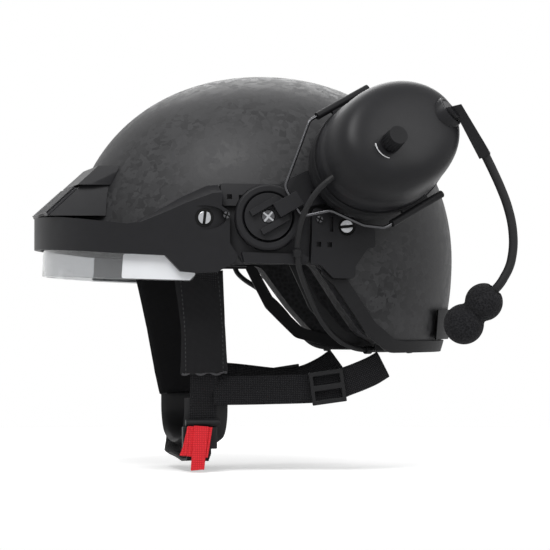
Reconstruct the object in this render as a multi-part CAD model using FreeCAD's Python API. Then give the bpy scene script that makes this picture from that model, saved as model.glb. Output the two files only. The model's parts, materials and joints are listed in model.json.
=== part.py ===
import FreeCAD, Part
import math
import os

# Half helmet with a louvred peak and drop-down visor, side rails, a pair of swivelling
# ear cups with a boom microphone, and a chin harness with a quick-release buckle.
# Millimetres. +X runs to the rear, -Y is the wearer's left, +Z is up. The origin is where
# the crown pad touches the top of the head.

V = FreeCAD.Vector

# Helmet form
half_length = 147.3
shell_reach = 143.7
half_width = 114.0
dome_height = 137.0
tuck_depth = 182.0
tuck_reach = 95.0
dome_pull = 0.5896
shell_wall = 4.0
foam_wall = 24.0
crown_pad_wall = 10.0
crown_sag = 0.6
centre_x = 13.3
shell_x = 16.9
crown_z = shell_wall + foam_wall + crown_pad_wall
equator_z = crown_z - dome_height

# Common fits
seat = 0.25
running = 0.05
clear = 0.4
overrun = 6.0

# Rim and trim
trim_wall = 1.8
trim_depth = 9.0
rim_round = 14.0
rim_shares = ((-1.278, 0.08), (-0.891, 0.073), (-0.566, 0.007), (-0.362, -0.036), (0.141, -0.036),
              (0.238, -0.131), (0.421, -0.393), (0.551, -0.488), (1.278, -0.488))
liner_shares = ((-1.278, 0.109), (-0.891, 0.095), (-0.538, 0.029), (-0.362, -0.015), (0.13, -0.024),
                (0.18, -0.1), (0.285, -0.26), (0.39, -0.395), (0.51, -0.456), (1.278, -0.456))

# Comfort pads
pad_wall = 7.0
pad_round = 9.0
crown_pad_radius = 36.0

# Fit system
band_wall = 1.6
band_stand = 0.3
band_shares = ((0.04, -0.02), (0.1, -0.02), (0.2, -0.22), (0.34, -0.375), (0.5, -0.42), (0.66, -0.42),
               (0.72, -0.27), (1.2, -0.27), (1.2, -0.49), (0.5, -0.49), (0.3, -0.43), (0.15, -0.26))
dial_radius = 15.0
dial_wall = 9.0
dial_stand = 3.7
dial_lobes = 12
dial_shaft = 3.0
dial_drop = 47.0

# Peak housing and visor
peak_reach = 153.5
peak_half_width = 120.0
peak_wall = 4.5
peak_face_y = 96.0
peak_edge_y = 124.0
peak_bevel = 9.0
peak_shares = ((-1.21, 0.223), (-1.054, 0.219), (-0.756, 0.175), (-0.698, 0.186), (-0.49, 0.315),
               (-0.369, 0.375), (-0.324, 0.383), (-0.324, 0.263), (-0.287, 0.234), (-0.287, 0.073),
               (-0.25, 0.01), (-0.262, -0.026), (-0.348, -0.078), (-0.434, -0.082), (-0.516, -0.073),
               (-0.586, 0.01), (-0.81, 0.024), (-1.21, 0.057))
hollow_shares = ((-1.21, 0.199), (-1.048, 0.196), (-0.756, 0.15), (-0.688, 0.161), (-0.484, 0.281),
                 (-0.403, 0.303), (-0.348, 0.299), (-0.321, 0.263), (-0.321, 0.109), (-0.339, 0.06),
                 (-0.339, -0.19), (-1.21, -0.19))
visor_wall = 2.4
visor_gap = 1.2
visor_shares = ((-1.21, 0.184), (-0.756, 0.134), (-0.67, 0.146), (-0.498, 0.228), (-0.403, 0.262),
                (-0.348, 0.238), (-0.341, 0.168), (-0.375, 0.124), (-0.44, 0.066), (-0.44, -0.095), (-0.462, -0.124),
                (-0.837, -0.109), (-1.21, -0.084))
plate_wall = 0.7
plate_shares = ((-0.768, 0.02), (-0.58, 0.015), (-0.52, -0.036), (-0.445, -0.051), (-0.445, -0.091),
                (-0.468, -0.118), (-0.776, -0.107))
front_bolt_share = (-0.405, 0.203)
eye_half = (15.0, 8.5)
eye_depth = 1.5

# Louvred fairing above the peak
fair_foot_x = -149.0
fair_foot_half = 47.0
fair_foot_back_half = 55.0
fair_top_x = -112.5
fair_top_half = 40.0
fair_top_back_half = 46.0
fair_top_z = -35.0
fair_back_x = -84.0
fair_wall = 2.6
louvre_count = 20
louvre_wall = 1.2
louvre_rise = 1.5
cap_wall = 3.4
cap_depth = 11.0

# Side rails
rail_floor = 2.6
rail_wall = 6.8
rail_round = 2.0
bar_round = 1.0
panel_round = 3.0
panel_wall = 6.4
rail_shares = ((-0.318, 0.382), (-0.036, 0.377), (0.011, 0.408), (0.071, 0.436), (0.253, 0.522),
               (0.188, 0.282), (0.113, 0.266), (0.1, 0.241), (0.1, -0.007), (0.064, -0.035),
               (-0.215, -0.029), (-0.282, 0.07), (-0.282, 0.237), (-0.318, 0.266))
top_bar_shares = ((-0.318, 0.382), (-0.036, 0.377), (0.011, 0.408), (0.071, 0.436), (0.253, 0.522),
                  (0.188, 0.282), (0.113, 0.266), (-0.318, 0.266))
low_bar_shares = ((-0.229, 0.027), (0.073, 0.016), (0.1, -0.007), (0.064, -0.035), (-0.215, -0.029))
panel_shares = ((0.117, 0.259), (0.24, 0.236), (0.439, 0.151), (0.441, 0.052), (0.401, 0.052),
                (0.333, -0.045), (0.333, -0.109), (0.219, -0.106), (0.155, -0.039), (0.104, -0.035))
rear_bolt_share = (0.289, 0.162)
front_screw_share = (-0.304, 0.215)
rear_screw_share = (0.15, 0.197)
square_shares = ((-0.28, 0.313), (-0.225, 0.309), (0.125, 0.33), (0.175, 0.345))
square_side = 3.4
slot_share = (0.21, 0.172)
slot_size = (2.8, 10.5)
small_slot_shares = ((0.145, 0.068), (0.2, 0.066))

# Fasteners
bolt_head = 4.6
bolt_shaft = 2.9
bolt_head_wall = 2.6
bolt_well = 6.6
bolt_slot = 1.0
bolt_reach = 7.4
screw_head = 2.4
screw_shaft = 1.2
screw_wall = 1.4
screw_reach = 5.0

# Swivel
swivel_share = (-0.096, 0.2)
swivel_tilt = 10.0
swivel_radius = 23.6
swivel_top = 9.0
rotor_radius = 16.8
rotor_sink = 4.0
rotor_rise = 1.4
lug_rise = 3.4
lug_wall = 4.4
lug_length = 20.0
lug_gap = 11.0
pivot_screw_head = 4.6
pivot_screw_shaft = 2.4
pivot_screw_wall = 2.6
arm_angle = 29.0
block_length = 19.0
block_start = 6.4
block_rise = 7.0
bore_run = 20.0

# Wire fork
wire_radius = 1.15
wire_bend = 7.0
sleeve_radius = 2.7
sleeve_half = 25.0
sleeve_side = 46.6
sleeve_lift = -2.5
sleeve_web = 1.2
wire_insert = 21.0
fork_knees = ((-52.0, 31.0, -11.0), (-54.0, -15.0, -13.0), (-43.0, -37.0, -6.0))

# Ear cups
cup_place = (79.7, -119.6, -25.2)
cup_normal = (0.20, -0.905, 0.365)
cup_long = (0.823, 0.363, 0.442)
cup_half_length = 55.5
cup_half_width = 43.5
cup_plate_wall = 5.0
cup_inset = 2.0
cup_depth = 45.0
cup_wall = 2.6
cup_pull = 0.96
cushion_wall = 12.5
cushion_width = 22.0
cushion_inset = 1.0
cushion_round = 5.0
speaker_radius = 20.0
speaker_wall = 7.0
speaker_hole = 14.0

# Volume knob on the left cup
knob_place = (-19.5, -4.0)
knob_radius = 7.2
knob_height = 12.5
knob_flutes = 18
knob_flute = 0.55
knob_shaft = 2.0

# Boom microphone on the left cup
boom_foot = (38.5, -5.0, 41.3)
boom_tilt_share = (0.62, 0.78)
boom_disc = 11.5
boom_disc_wall = 2.6
boom_sink = 1.0
boom_hub = 8.0
boom_reach = 10.0
boom_side = 8.6
boom_arm_end = (151.4, -136.6, -25.7)
boom_radius = 3.2
boom_route = ((156.3, -136.6, -35.2), (161.8, -136.6, -46.6), (167.2, -137.4, -60.0),
              (171.1, -138.0, -75.0), (172.2, -138.0, -90.5), (169.6, -138.0, -105.4))
mic_run = 7.0
mic_upper = (152.1, -131.0, -130.5)
mic_lower = (139.3, -124.0, -146.2)
mic_upper_radius = 13.6
mic_lower_radius = 14.4
muff_gap = 2.0
mic_lower_stretch = 1.16
capsule_radius = 5.0
capsule_back = 10.5
capsule_length = 24.0

# Headset lead
lead_radius = 2.0
lead_link_route = ((52.2, -145.2, -35.3), (39.2, -150.9, -42.3), (27.0, -147.0, -53.0),
                   (20.4, -140.0, -66.0), (17.6, -131.6, -79.0), (17.5, -125.2, -91.9))
lead_rear_route = ((17.6, -124.8, -92.9), (18.4, -124.2, -103.8), (24.0, -114.6, -115.0),
                   (32.0, -104.0, -128.6), (42.0, -93.0, -144.6), (55.5, -83.0, -157.6),
                   (72.0, -73.6, -165.0), (92.0, -63.4, -165.2), (113.0, -48.8, -165.2),
                   (128.6, -28.2, -165.2), (134.6, -8.0, -165.2))
far_lead_rise = ((24.0, 115.6, -112.0), (36.0, 107.0, -120.0), (50.0, 98.0, -133.0), (61.0, 86.0, -150.0))

# Chin harness
web_width = 20.0
web_wall = 2.0
tail_widths = (19.0, 18.0, 17.0)
cover_play = 1.0
cover_wall = 7.0
front_web = ((-43.0, -88.2, -106.3), (-42.2, -85.0, -113.0), (-40.6, -78.5, -140.0),
             (-39.2, -71.0, -165.0), (-38.2, -64.0, -186.0), (-37.6, -58.6, -203.0),
             (-38.0, -57.2, -220.2))
cover_line = ((-45.5, -82.8, -110.0), (-43.5, -80.2, -126.0), (-41.0, -76.3, -148.0),
              (-39.6, -71.6, -166.0), (-38.6, -66.6, -181.5))
cover_widths = (36.0, 34.0, 32.0, 33.0, 35.0)
far_web = ((-45.5, 88.2, -106.3), (-44.8, 85.0, -113.0), (-42.2, 78.5, -140.0),
           (-39.6, 71.0, -165.0), (-37.2, 64.0, -186.0), (-35.6, 58.6, -203.0),
           (-35.4, 57.2, -218.0), (-36.4, 55.4, -225.0), (-38.4, 46.0, -234.4), (-42.4, 30.0, -240.2),
           (-46.0, 10.0, -241.4), (-47.2, -8.0, -241.6))
far_cover_line = ((-48.2, 82.8, -110.0), (-45.8, 80.2, -126.0), (-42.6, 76.3, -148.0),
                  (-40.0, 71.6, -166.0), (-37.8, 66.2, -182.5), (-36.2, 61.0, -199.3))
far_cover_widths = (37.0, 35.0, 33.0, 33.0, 33.0, 30.0)
rear_web = ((-26.9, -62.0, -194.4), (8.0, -67.0, -194.0), (49.3, -72.6, -192.4),
            (66.0, -75.4, -187.4), (82.0, -76.6, -181.0), (92.0, -75.0, -175.6))
far_rear_web = ((-20.3, 65.3, -186.3), (8.0, 68.5, -188.0), (49.3, 72.6, -192.4),
                (66.0, 75.4, -189.6), (82.0, 76.6, -182.6), (92.0, 75.0, -175.6))
rear_web_width = 21.0
slider_place = (50.5, -76.0, -191.9)
slider_size = (24.0, 3.0, 25.0)
slider_lap = 0.6
slider_window = (6.6, 19.4)
slider_angle = 8.0
pad_line = ((-35.0, -54.2, -200.0), (-35.0, -52.6, -215.0), (-35.0, -41.0, -227.6),
            (-35.0, -18.0, -233.0), (-35.0, 0.0, -233.8))
pad_width = 32.0
pad_thick = 6.0
anchor_places = ((-43.0, -88.6, -103.4), (94.0, -73.2, -163.8))
anchor_sizes = ((24.0, 4.6, 3.2), (16.0, 5.0, 4.2))

# Quick-release buckle
receiver_place = (-40.5, -58.6, -228.5)
receiver_size = (25.0, 7.0, 16.0)
mouth_depth = 8.0
tongue_line = ((-46.8, -9.4, -241.7), (-45.0, -28.0, -242.8), (-43.0, -44.0, -245.0),
               (-41.2, -54.0, -244.6), (-40.5, -58.6, -239.6), (-40.5, -58.6, -229.5))
tongue_width = 17.0
tongue_wall = 1.8
tongue_play = 1.0
lever_place = (-38.6, -61.2, -217.6)
lever_radius = 2.6
lever_length = 25.0
tab_top_width = 24.0
tab_bottom_width = 27.0
tab_height = 23.0
tab_tail_width = 12.5
tab_tail_height = 11.0
tab_wall = 1.6
tab_drift = -3.0

# Nape bracket
bracket_shares = ((0.83, -0.27), (0.99, -0.27), (0.99, -0.43), (0.83, -0.43))
bracket_wall = 3.0

# Lead clips
clip_outer = 3.2
clip_length = 5.0


def side_point(share, y=0.0):
    return V(centre_x + half_length * share[0], y, equator_z + dome_height * share[1])


def quarter(reach, rise, pull):
    """Curve from the top of a dome down to its widest ring."""
    curve = Part.BezierCurve()
    curve.setPoles([V(0, 0, rise), V(pull * reach, 0, rise), V(reach, 0, pull * rise), V(reach, 0, 0)])
    return curve.toShape()


def across_at(level, pull):
    """Share of the reach of a quarter curve at a share of its rise."""
    low = 0.0
    high = 1.0
    for _ in range(40):
        t = (low + high) / 2
        s = 1 - t
        if s ** 3 + 3 * s * s * t + 3 * s * t * t * pull > level:
            low = t
        else:
            high = t
    return 3 * s * s * t * pull + 3 * s * t * t + t ** 3


def dome(offset, extra=0.0):
    """Solid helmet form, grown or shrunk from the outer face of the shell."""
    reach = shell_reach + offset
    tuck = tuck_depth + offset
    lean = math.asin((tuck_reach + extra) / tuck)
    pull = 4 / 3 * math.tan(lean / 4)
    last = V(reach * math.cos(lean), 0, -tuck * math.sin(lean))
    lower = Part.BezierCurve()
    lower.setPoles([V(reach, 0, 0), V(reach, 0, -pull * tuck),
                    last + V(pull * reach * math.sin(lean), 0, pull * tuck * math.cos(lean)), last])
    base = V(0, 0, last.z)
    top = V(0, 0, dome_height + offset)
    wire = Part.Wire([quarter(reach, dome_height + offset, dome_pull), lower.toShape(),
                      Part.makeLine(last, base), Part.makeLine(base, top)])
    body = Part.Face(wire).revolve(V(0, 0, 0), V(0, 0, 1), 360)
    stretch = FreeCAD.Matrix()
    stretch.scale(1, (half_width + offset) / reach, 1)
    body = body.transformGeometry(stretch)
    body.translate(V(shell_x, 0, equator_z))
    return body


def dome_y(x, z, offset=0.0):
    """Distance from the middle plane to the helmet form at a place on its side."""
    if z > equator_z:
        level = across_at((z - equator_z) / (dome_height + offset), dome_pull)
    else:
        level = math.sqrt(1 - ((equator_z - z) / (tuck_depth + offset)) ** 2)
    along = (x - shell_x) / (shell_reach + offset)
    return (half_width + offset) * math.sqrt(level ** 2 - along ** 2)


def rounded(points, radius):
    """Closed wire through points, each corner turned by a tangent arc."""
    count = len(points)
    starts = []
    ends = []
    mids = []
    for i in range(count):
        here = points[i]
        back = points[i - 1] - here
        ahead = points[(i + 1) % count] - here
        turn = math.pi - back.getAngle(ahead)
        cut = radius * math.tan(turn / 2)
        cut = min(cut, 0.42 * back.Length, 0.42 * ahead.Length)
        back.normalize()
        ahead.normalize()
        starts.append(here + back * cut)
        ends.append(here + ahead * cut)
        bisect = back + ahead
        if bisect.Length > 1e-6 and cut > 0:
            bisect.normalize()
            size = cut / math.tan(turn / 2)
            mids.append(here + bisect * (size / math.cos(turn / 2) - size))
        else:
            mids.append(None)
    edges = []
    for i in range(count):
        if mids[i] is not None and (ends[i] - starts[i]).Length > 1e-4:
            edges.append(Part.Arc(starts[i], mids[i], ends[i]).toShape())
        following = starts[(i + 1) % count]
        if (following - ends[i]).Length > 1e-4:
            edges.append(Part.makeLine(ends[i], following))
    return Part.Wire(edges)


def side_prism(shares, y_from, y_to, radius=0.0, shift=V(0, 0, 0)):
    """Outline in the side view, carried across the helmet from one y to another."""
    points = [side_point(share, y_from) + shift for share in shares]
    wire = rounded(points, radius) if radius else Part.makePolygon(points + [points[0]])
    return Part.Face(wire).extrude(V(0, y_to - y_from, 0))


def above(shares, radius, shift=V(0, 0, 0)):
    """Everything on the crown side of a rim line."""
    wide = half_width * 1.3
    roof = 1.3
    outline = list(shares) + [(shares[-1][0], roof), (shares[0][0], roof)]
    points = [side_point(share, -wide) + shift for share in outline]
    return Part.Face(rounded(points, radius)).extrude(V(0, 2 * wide, 0))


def skin(inner, outer):
    """Layer that follows the helmet form between two offsets."""
    return dome(outer).cut(dome(inner, overrun))


def mirrored(shape):
    return shape.mirror(V(0, 0, 0), V(0, 1, 0))


def both(shape):
    return Part.makeCompound([shape, mirrored(shape)])


def pose(origin, x_dir, z_dir):
    """Placement of a part drawn flat on its own x and y with z outward."""
    z_axis = V(z_dir).normalize()
    x_axis = V(x_dir) - z_axis * z_axis.dot(V(x_dir))
    x_axis.normalize()
    y_axis = z_axis.cross(x_axis)
    return FreeCAD.Placement(FreeCAD.Matrix(
        x_axis.x, y_axis.x, z_axis.x, origin.x,
        x_axis.y, y_axis.y, z_axis.y, origin.y,
        x_axis.z, y_axis.z, z_axis.z, origin.z,
        0, 0, 0, 1))


def put(shape, where):
    moved = shape.copy()
    moved.Placement = where.multiply(moved.Placement)
    return moved


def rod(radius, low, high, x=0.0, y=0.0):
    return Part.makeCylinder(radius, high - low, V(x, y, low))


def block(x_low, x_high, y_low, y_high, z_low, z_high):
    return Part.makeBox(x_high - x_low, y_high - y_low, z_high - z_low, V(x_low, y_low, z_low))


def centred(place, size):
    return block(place[0] - size[0] / 2, place[0] + size[0] / 2, place[1] - size[1] / 2,
                 place[1] + size[1] / 2, place[2] - size[2] / 2, place[2] + size[2] / 2)


def cross_rod(radius, share, y_from, y_to):
    """Round bar across the helmet at a place in the side view."""
    return Part.makeCylinder(radius, abs(y_to - y_from), side_point(share, y_from), V(0, y_to - y_from, 0))


def oval(reach, width, low, high, x=0.0):
    """Upright oval column."""
    column = Part.makeCylinder(reach, high - low, V(0, 0, low))
    stretch = FreeCAD.Matrix()
    stretch.scale(1, width / reach, 1)
    column = column.transformGeometry(stretch)
    column.translate(V(x, 0, 0))
    return column


def path(points, radius=None):
    """Straight runs joined by tangent arcs, each as large as its two runs allow."""
    edges = []
    radii = []
    start = points[0]
    for i in range(1, len(points) - 1):
        here = points[i]
        back = points[i - 1] - here
        ahead = points[i + 1] - here
        turn = math.pi - back.getAngle(ahead)
        cut = 0.45 * min(back.Length, ahead.Length)
        size = cut / math.tan(turn / 2)
        if radius is not None and size > radius:
            size = radius
            cut = size * math.tan(turn / 2)
        radii.append(size)
        back.normalize()
        ahead.normalize()
        first = here + back * cut
        last = here + ahead * cut
        bisect = back + ahead
        bisect.normalize()
        middle = here + bisect * (size / math.cos(turn / 2) - size)
        edges.append(Part.LineSegment(start, first).toShape())
        edges.append(Part.Arc(first, middle, last).toShape())
        start = last
    edges.append(Part.LineSegment(start, points[-1]).toShape())
    return Part.Wire(edges), radii


def tube(points, radius, bend=None, name=None):
    """Round bar or lead along a route of straight runs and arcs."""
    route, radii = path(points, bend)
    heading = points[1] - points[0]
    ring = Part.Wire([Part.makeCircle(radius, points[0], heading)])
    body = route.makePipeShell([ring], True, False)
    if name:
        ideal = math.pi * radius ** 2 * route.Length
        print(name, "radii", " ".join(f"{size:.1f}" for size in radii), f"volume share {body.Volume / ideal:.4f}")
    return body


def ribbon(line, widths, wall, across=V(1, 0, 0)):
    """Flat strap lofted along a line, its width laid along one direction."""
    wires = []
    count = len(line)
    for i in range(count):
        here = line[i]
        heading = line[min(i + 1, count - 1)] - line[max(i - 1, 0)]
        heading.normalize()
        wide = across - heading * across.dot(heading)
        wide.normalize()
        thick = heading.cross(wide)
        a = wide * (widths[i] / 2)
        b = thick * (wall / 2)
        corners = [here - a - b, here + a - b, here + a + b, here - a + b]
        wires.append(Part.makePolygon(corners + [corners[0]]))
    return Part.makeLoft(wires, True, True)


def vectors(points):
    return [V(*point) for point in points]


# Shell, trim, liner and pads

def make_bolt_holes():
    front = cross_rod(bolt_shaft + clear, front_bolt_share, -peak_edge_y, peak_edge_y)
    rear = cross_rod(bolt_shaft + clear, rear_bolt_share, -peak_edge_y, peak_edge_y)
    return Part.makeCompound([front, rear])


def make_shell():
    shell = skin(-shell_wall, 0.0).common(above(rim_shares, rim_round))
    return shell.cut(make_bolt_holes())


def make_trim():
    band = above(rim_shares, rim_round, V(-trim_wall * 0.6, 0, -trim_wall * 0.8))
    band = band.cut(above(rim_shares, rim_round, V(trim_depth * 0.6, 0, trim_depth * 0.8)))
    rear_part = side_prism(((0.17, 0.2), (1.3, 0.2), (1.3, -0.7), (0.17, -0.7)), -peak_edge_y, peak_edge_y)
    trim = skin(-shell_wall, trim_wall).common(band).common(rear_part)
    for shift in (V(0, 0, 0), V(seat, 0, -2 * seat)):
        trim = trim.cut(side_prism(panel_shares, -peak_edge_y, peak_edge_y, 0.0, shift))
    kept = dome(seat).common(above(rim_shares, rim_round, V(-seat, 0, -seat)))
    return trim.cut(kept)


def make_liner():
    liner = skin(-shell_wall - foam_wall, -shell_wall - seat).common(above(liner_shares, rim_round))
    pocket = block(shell_x, shell_x + shell_reach, -dial_radius * 1.5, dial_radius * 1.5,
                   equator_z - dome_height, equator_z - dial_drop + dial_radius * 1.3)
    return liner.cut(pocket)


def pad_layer(depth):
    face = -shell_wall - foam_wall
    return skin(face - depth, face - seat)


def make_crown_pad():
    column = rod(crown_pad_radius, -overrun, crown_z, shell_x)
    return pad_layer(crown_pad_wall - crown_sag).common(column)


def make_comfort_pads():
    layer = pad_layer(pad_wall)
    brow = side_prism(((-1.0, 0.3), (-0.42, 0.3), (-0.42, 0.12), (-1.0, 0.12)), -half_width, half_width)
    side = side_prism(((-0.2, 0.32), (0.28, 0.32), (0.28, 0.03), (-0.2, 0.03)),
                      -half_width, -half_width / 2, pad_round)
    nape = side_prism(((0.3, 0.2), (1.2, 0.2), (1.2, -0.08), (0.3, -0.08)), -half_width * 0.45, half_width * 0.45)
    pads = [layer.common(window) for window in (brow, side, mirrored(side), nape)]
    return Part.makeCompound(pads)


def make_fit_band():
    face = -shell_wall - foam_wall - band_stand
    strip = side_prism(band_shares, -half_width, half_width, pad_round)
    band = skin(face - band_wall, face).common(strip)
    return band.cut(dial_axis_rod(dial_shaft + running, overrun))


def band_back_x():
    face = -shell_wall - foam_wall - band_stand
    level = math.sqrt(1 - (dial_drop / (tuck_depth + face)) ** 2)
    return shell_x + (shell_reach + face) * level


def dial_axis_rod(radius, extra=0.0):
    start = V(band_back_x() - band_wall - extra, 0, equator_z - dial_drop)
    return Part.makeCylinder(radius, band_wall + dial_wall + 2 * extra, start, V(1, 0, 0))


def make_fit_dial():
    start = V(band_back_x() + dial_stand, 0, equator_z - dial_drop)
    dial = Part.makeCylinder(dial_radius, dial_wall, start, V(1, 0, 0))
    for i in range(dial_lobes):
        turn = 2 * math.pi * i / dial_lobes
        place = start + V(0, dial_radius * math.cos(turn), dial_radius * math.sin(turn))
        dial = dial.cut(Part.makeCylinder(dial_radius / dial_lobes, dial_wall, place, V(1, 0, 0)))
    return dial.fuse(dial_axis_rod(dial_shaft))


# Peak, visor and fairing

def make_peak_blank():
    low = equator_z - dome_height / 4
    high = equator_z + dome_height / 2
    core = side_prism(peak_shares, -peak_face_y, peak_face_y)
    sides = []
    for sign in (-1, 1):
        wide = [side_point(share, sign * peak_face_y) for share in peak_shares]
        narrow = []
        for number, share in enumerate(peak_shares):
            drop = peak_bevel if 2 <= number <= 6 else 0.0
            narrow.append(side_point(share, sign * peak_edge_y) - V(0, 0, drop))
        loft = [Part.makePolygon(wide + [wide[0]]), Part.makePolygon(narrow + [narrow[0]])]
        sides.append(Part.makeLoft(loft, True, True))
    body = core.fuse(sides)
    return body.common(oval(peak_reach, peak_half_width, low, high))


def peak_face(x):
    """Distance from the middle plane to the outer face of the peak housing."""
    return peak_half_width * math.sqrt(1 - (x / peak_reach) ** 2)


def make_peak():
    low = equator_z - dome_height / 2
    high = equator_z + dome_height / 2
    body = make_peak_blank().cut(dome(seat))
    room = oval(peak_reach - peak_wall, peak_half_width - peak_wall, low, high)
    body = body.cut(room.common(side_prism(hollow_shares, -peak_edge_y, peak_edge_y)))
    body = body.cut(cross_rod(bolt_shaft + clear, front_bolt_share, -peak_edge_y, peak_edge_y))
    bolt = side_point(front_bolt_share)
    face = peak_face(bolt.x)
    body = body.cut(cross_rod(screw_shaft + clear, front_screw_share, -peak_edge_y, peak_edge_y))
    for sign in (-1, 1):
        well = cross_rod(bolt_well, front_bolt_share, sign * (face - peak_wall * 0.6), sign * peak_edge_y)
        eye = Part.makeCylinder(eye_half[0], peak_edge_y, V(0, 0, 0))
        stretch = FreeCAD.Matrix()
        stretch.scale(1, eye_half[1] / eye_half[0], 1)
        eye = put(eye.transformGeometry(stretch), pose(V(bolt.x, sign * (face - eye_depth), bolt.z),
                                                       V(1, 0, 0), V(0, sign, 0)))
        body = body.cut(Part.makeCompound([well.fuse(eye)]))
    return body


def make_visor():
    low = equator_z - dome_height / 2
    high = equator_z + dome_height / 2
    outer = peak_wall + visor_gap
    ring = oval(peak_reach - outer, peak_half_width - outer, low, high)
    ring = ring.cut(oval(peak_reach - outer - visor_wall, peak_half_width - outer - visor_wall, low, high))
    lens = ring.common(side_prism(visor_shares, -peak_edge_y, peak_edge_y, overrun))
    return lens.cut(cross_rod(bolt_shaft + running, front_bolt_share, -peak_edge_y, peak_edge_y))


def make_visor_plates():
    low = equator_z - dome_height / 2
    high = equator_z + dome_height / 2
    inner = peak_wall + visor_gap - seat / 2
    outer = inner - plate_wall
    ring = oval(peak_reach - outer, peak_half_width - outer, low, high)
    ring = ring.cut(oval(peak_reach - inner, peak_half_width - inner, low, high))
    return both(ring.common(side_prism(plate_shares, -peak_edge_y, -overrun, 2 * plate_wall)))


def fairing_blank(grow=0.0, top=0.0):
    foot_z = side_point(peak_shares[0]).z + seat
    rise = fair_top_z - foot_z
    lean = (fair_top_x - fair_foot_x) / rise
    top_z = fair_top_z + top
    rings = []
    for z in (foot_z, top_z):
        share = (z - foot_z) / rise
        front_x = fair_foot_x + lean * (z - foot_z) - grow
        front_half = fair_foot_half + (fair_top_half - fair_foot_half) * share + grow
        back_half = fair_foot_back_half + (fair_top_back_half - fair_foot_back_half) * share + grow
        corners = [V(front_x, -front_half, z), V(front_x, front_half, z),
                   V(fair_back_x, back_half, z), V(fair_back_x, -back_half, z)]
        rings.append(Part.makePolygon(corners + [corners[0]]))
    return Part.makeLoft(rings, True, True)


def make_fairing():
    return fairing_blank().cut(fairing_blank(-fair_wall, overrun * 2)
                               .common(fairing_blank(0.0, -fair_wall))).cut(dome(seat))


def make_louvre_panel():
    foot_z = side_point(peak_shares[0]).z + seat
    run = V(fair_top_x - fair_foot_x, 0, fair_top_z - foot_z)
    hidden = cap_depth + louvre_wall + louvre_rise
    length = run.Length * (1 - hidden / (fair_top_z - foot_z))
    share = length / run.Length
    foot = fair_foot_half
    head = foot + (fair_top_half - foot) * share
    flat = [V(0, -foot, 0), V(length, -head, 0), V(length, head, 0), V(0, foot, 0)]
    panel = Part.Face(Part.makePolygon(flat + [flat[0]])).extrude(V(0, 0, louvre_wall))
    pitch = length / louvre_count
    ribs = []
    for i in range(louvre_count):
        near = pitch * (i + 0.25)
        far = pitch * (i + 0.75)
        half = foot + (head - foot) * (far / length) - louvre_wall
        ribs.append(block(near, far, -half, half, louvre_wall - seat, louvre_wall + louvre_rise))
    panel = panel.fuse(ribs)
    up = V(run)
    out = V(-run.z, 0, run.x)
    where = pose(V(fair_foot_x, 0, foot_z) + V(out).normalize() * seat, up, out)
    return put(panel, where)


def make_fairing_cap():
    cap = fairing_blank(cap_wall, cap_wall)
    keep = block(fair_foot_x, fair_back_x, -fair_foot_half, fair_foot_half, fair_top_z - cap_depth + clear,
                 crown_z)
    cap = cap.common(keep)
    return cap.cut(fairing_blank(seat, seat)).cut(dome(seat))


# Rails and fasteners

def swivel_axis():
    lean = math.radians(swivel_tilt)
    flat = math.sin(lean) / math.sqrt(2)
    return V(-flat, -math.cos(lean), flat)


def swivel_centre():
    place = side_point(swivel_share)
    return V(place.x, -dome_y(place.x, place.z), place.z)


def swivel_frame():
    lean = math.radians(arm_angle)
    return pose(swivel_centre(), V(math.cos(lean), 0, math.sin(lean)), swivel_axis())


def side_screw(share, face, head, shaft, wall, reach, slot):
    place = side_point(share)
    top = -dome_y(place.x, place.z, face)
    screw = cross_rod(head, share, top, top - wall)
    screw = screw.fuse(cross_rod(shaft, share, top + reach, top))
    cut = centred((place.x, top - wall, place.z), slot)
    return screw.cut(cut)


def make_rail_left():
    floor = skin(seat, rail_floor)
    raised = skin(rail_floor - seat, rail_wall)
    plate = floor.common(side_prism(rail_shares, -peak_edge_y - overrun, -half_width / 2, rail_round))
    top = raised.common(side_prism(top_bar_shares, -peak_edge_y - overrun, -half_width / 2, rail_round))
    low = raised.common(side_prism(low_bar_shares, -peak_edge_y - overrun, -half_width / 2, bar_round))
    well = put(rod(swivel_radius + clear, -3 * swivel_top, 3 * swivel_top), swivel_frame())
    rail = plate.fuse([top.cut(well), low.cut(well)])
    for share in square_shares:
        place = side_point(share)
        y = -dome_y(place.x, place.z, rail_wall)
        rail = rail.cut(centred((place.x, y, place.z), (square_side, 2 * square_side, square_side)))
    return rail


def make_panel_left():
    window = side_prism(panel_shares, -peak_edge_y - overrun, -half_width / 2, panel_round)
    panel = skin(seat, panel_wall).common(window)
    hole = cross_rod(bolt_shaft + clear, rear_bolt_share, -peak_edge_y, -half_width / 2)
    place = side_point(rear_bolt_share)
    face = -dome_y(place.x, place.z, panel_wall)
    well = cross_rod(bolt_well, rear_bolt_share, -peak_edge_y, face + bolt_head_wall + 2 * seat)
    screw = cross_rod(screw_shaft + clear, rear_screw_share, -peak_edge_y, -half_width / 2)
    panel = panel.cut(hole).cut(well).cut(screw)
    for share, size in [(slot_share, slot_size)] + [(s, (square_side, square_side)) for s in small_slot_shares]:
        place = side_point(share)
        y = -dome_y(place.x, place.z, panel_wall)
        panel = panel.cut(centred((place.x, y, place.z), (size[0], 2 * square_side, size[1])))
    return panel


def make_rail_bolts():
    top = -(peak_face(side_point(front_bolt_share).x) - peak_wall * 0.6 + seat)
    place = side_point(front_bolt_share)
    front = cross_rod(bolt_head, front_bolt_share, top, top - bolt_head_wall)
    front = front.fuse(cross_rod(bolt_shaft, front_bolt_share, top + bolt_reach * 1.7, top))
    front = front.cut(centred((place.x, top - bolt_head_wall, place.z), (bolt_slot, bolt_slot * 2, 3 * bolt_head)))
    under = panel_wall - bolt_head_wall - seat
    rear = side_screw(rear_bolt_share, under, bolt_head, bolt_shaft, bolt_head_wall, bolt_reach,
                      (3 * bolt_head, bolt_slot * 2, bolt_slot))
    return Part.makeCompound([front, mirrored(front), rear, mirrored(rear)])


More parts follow.
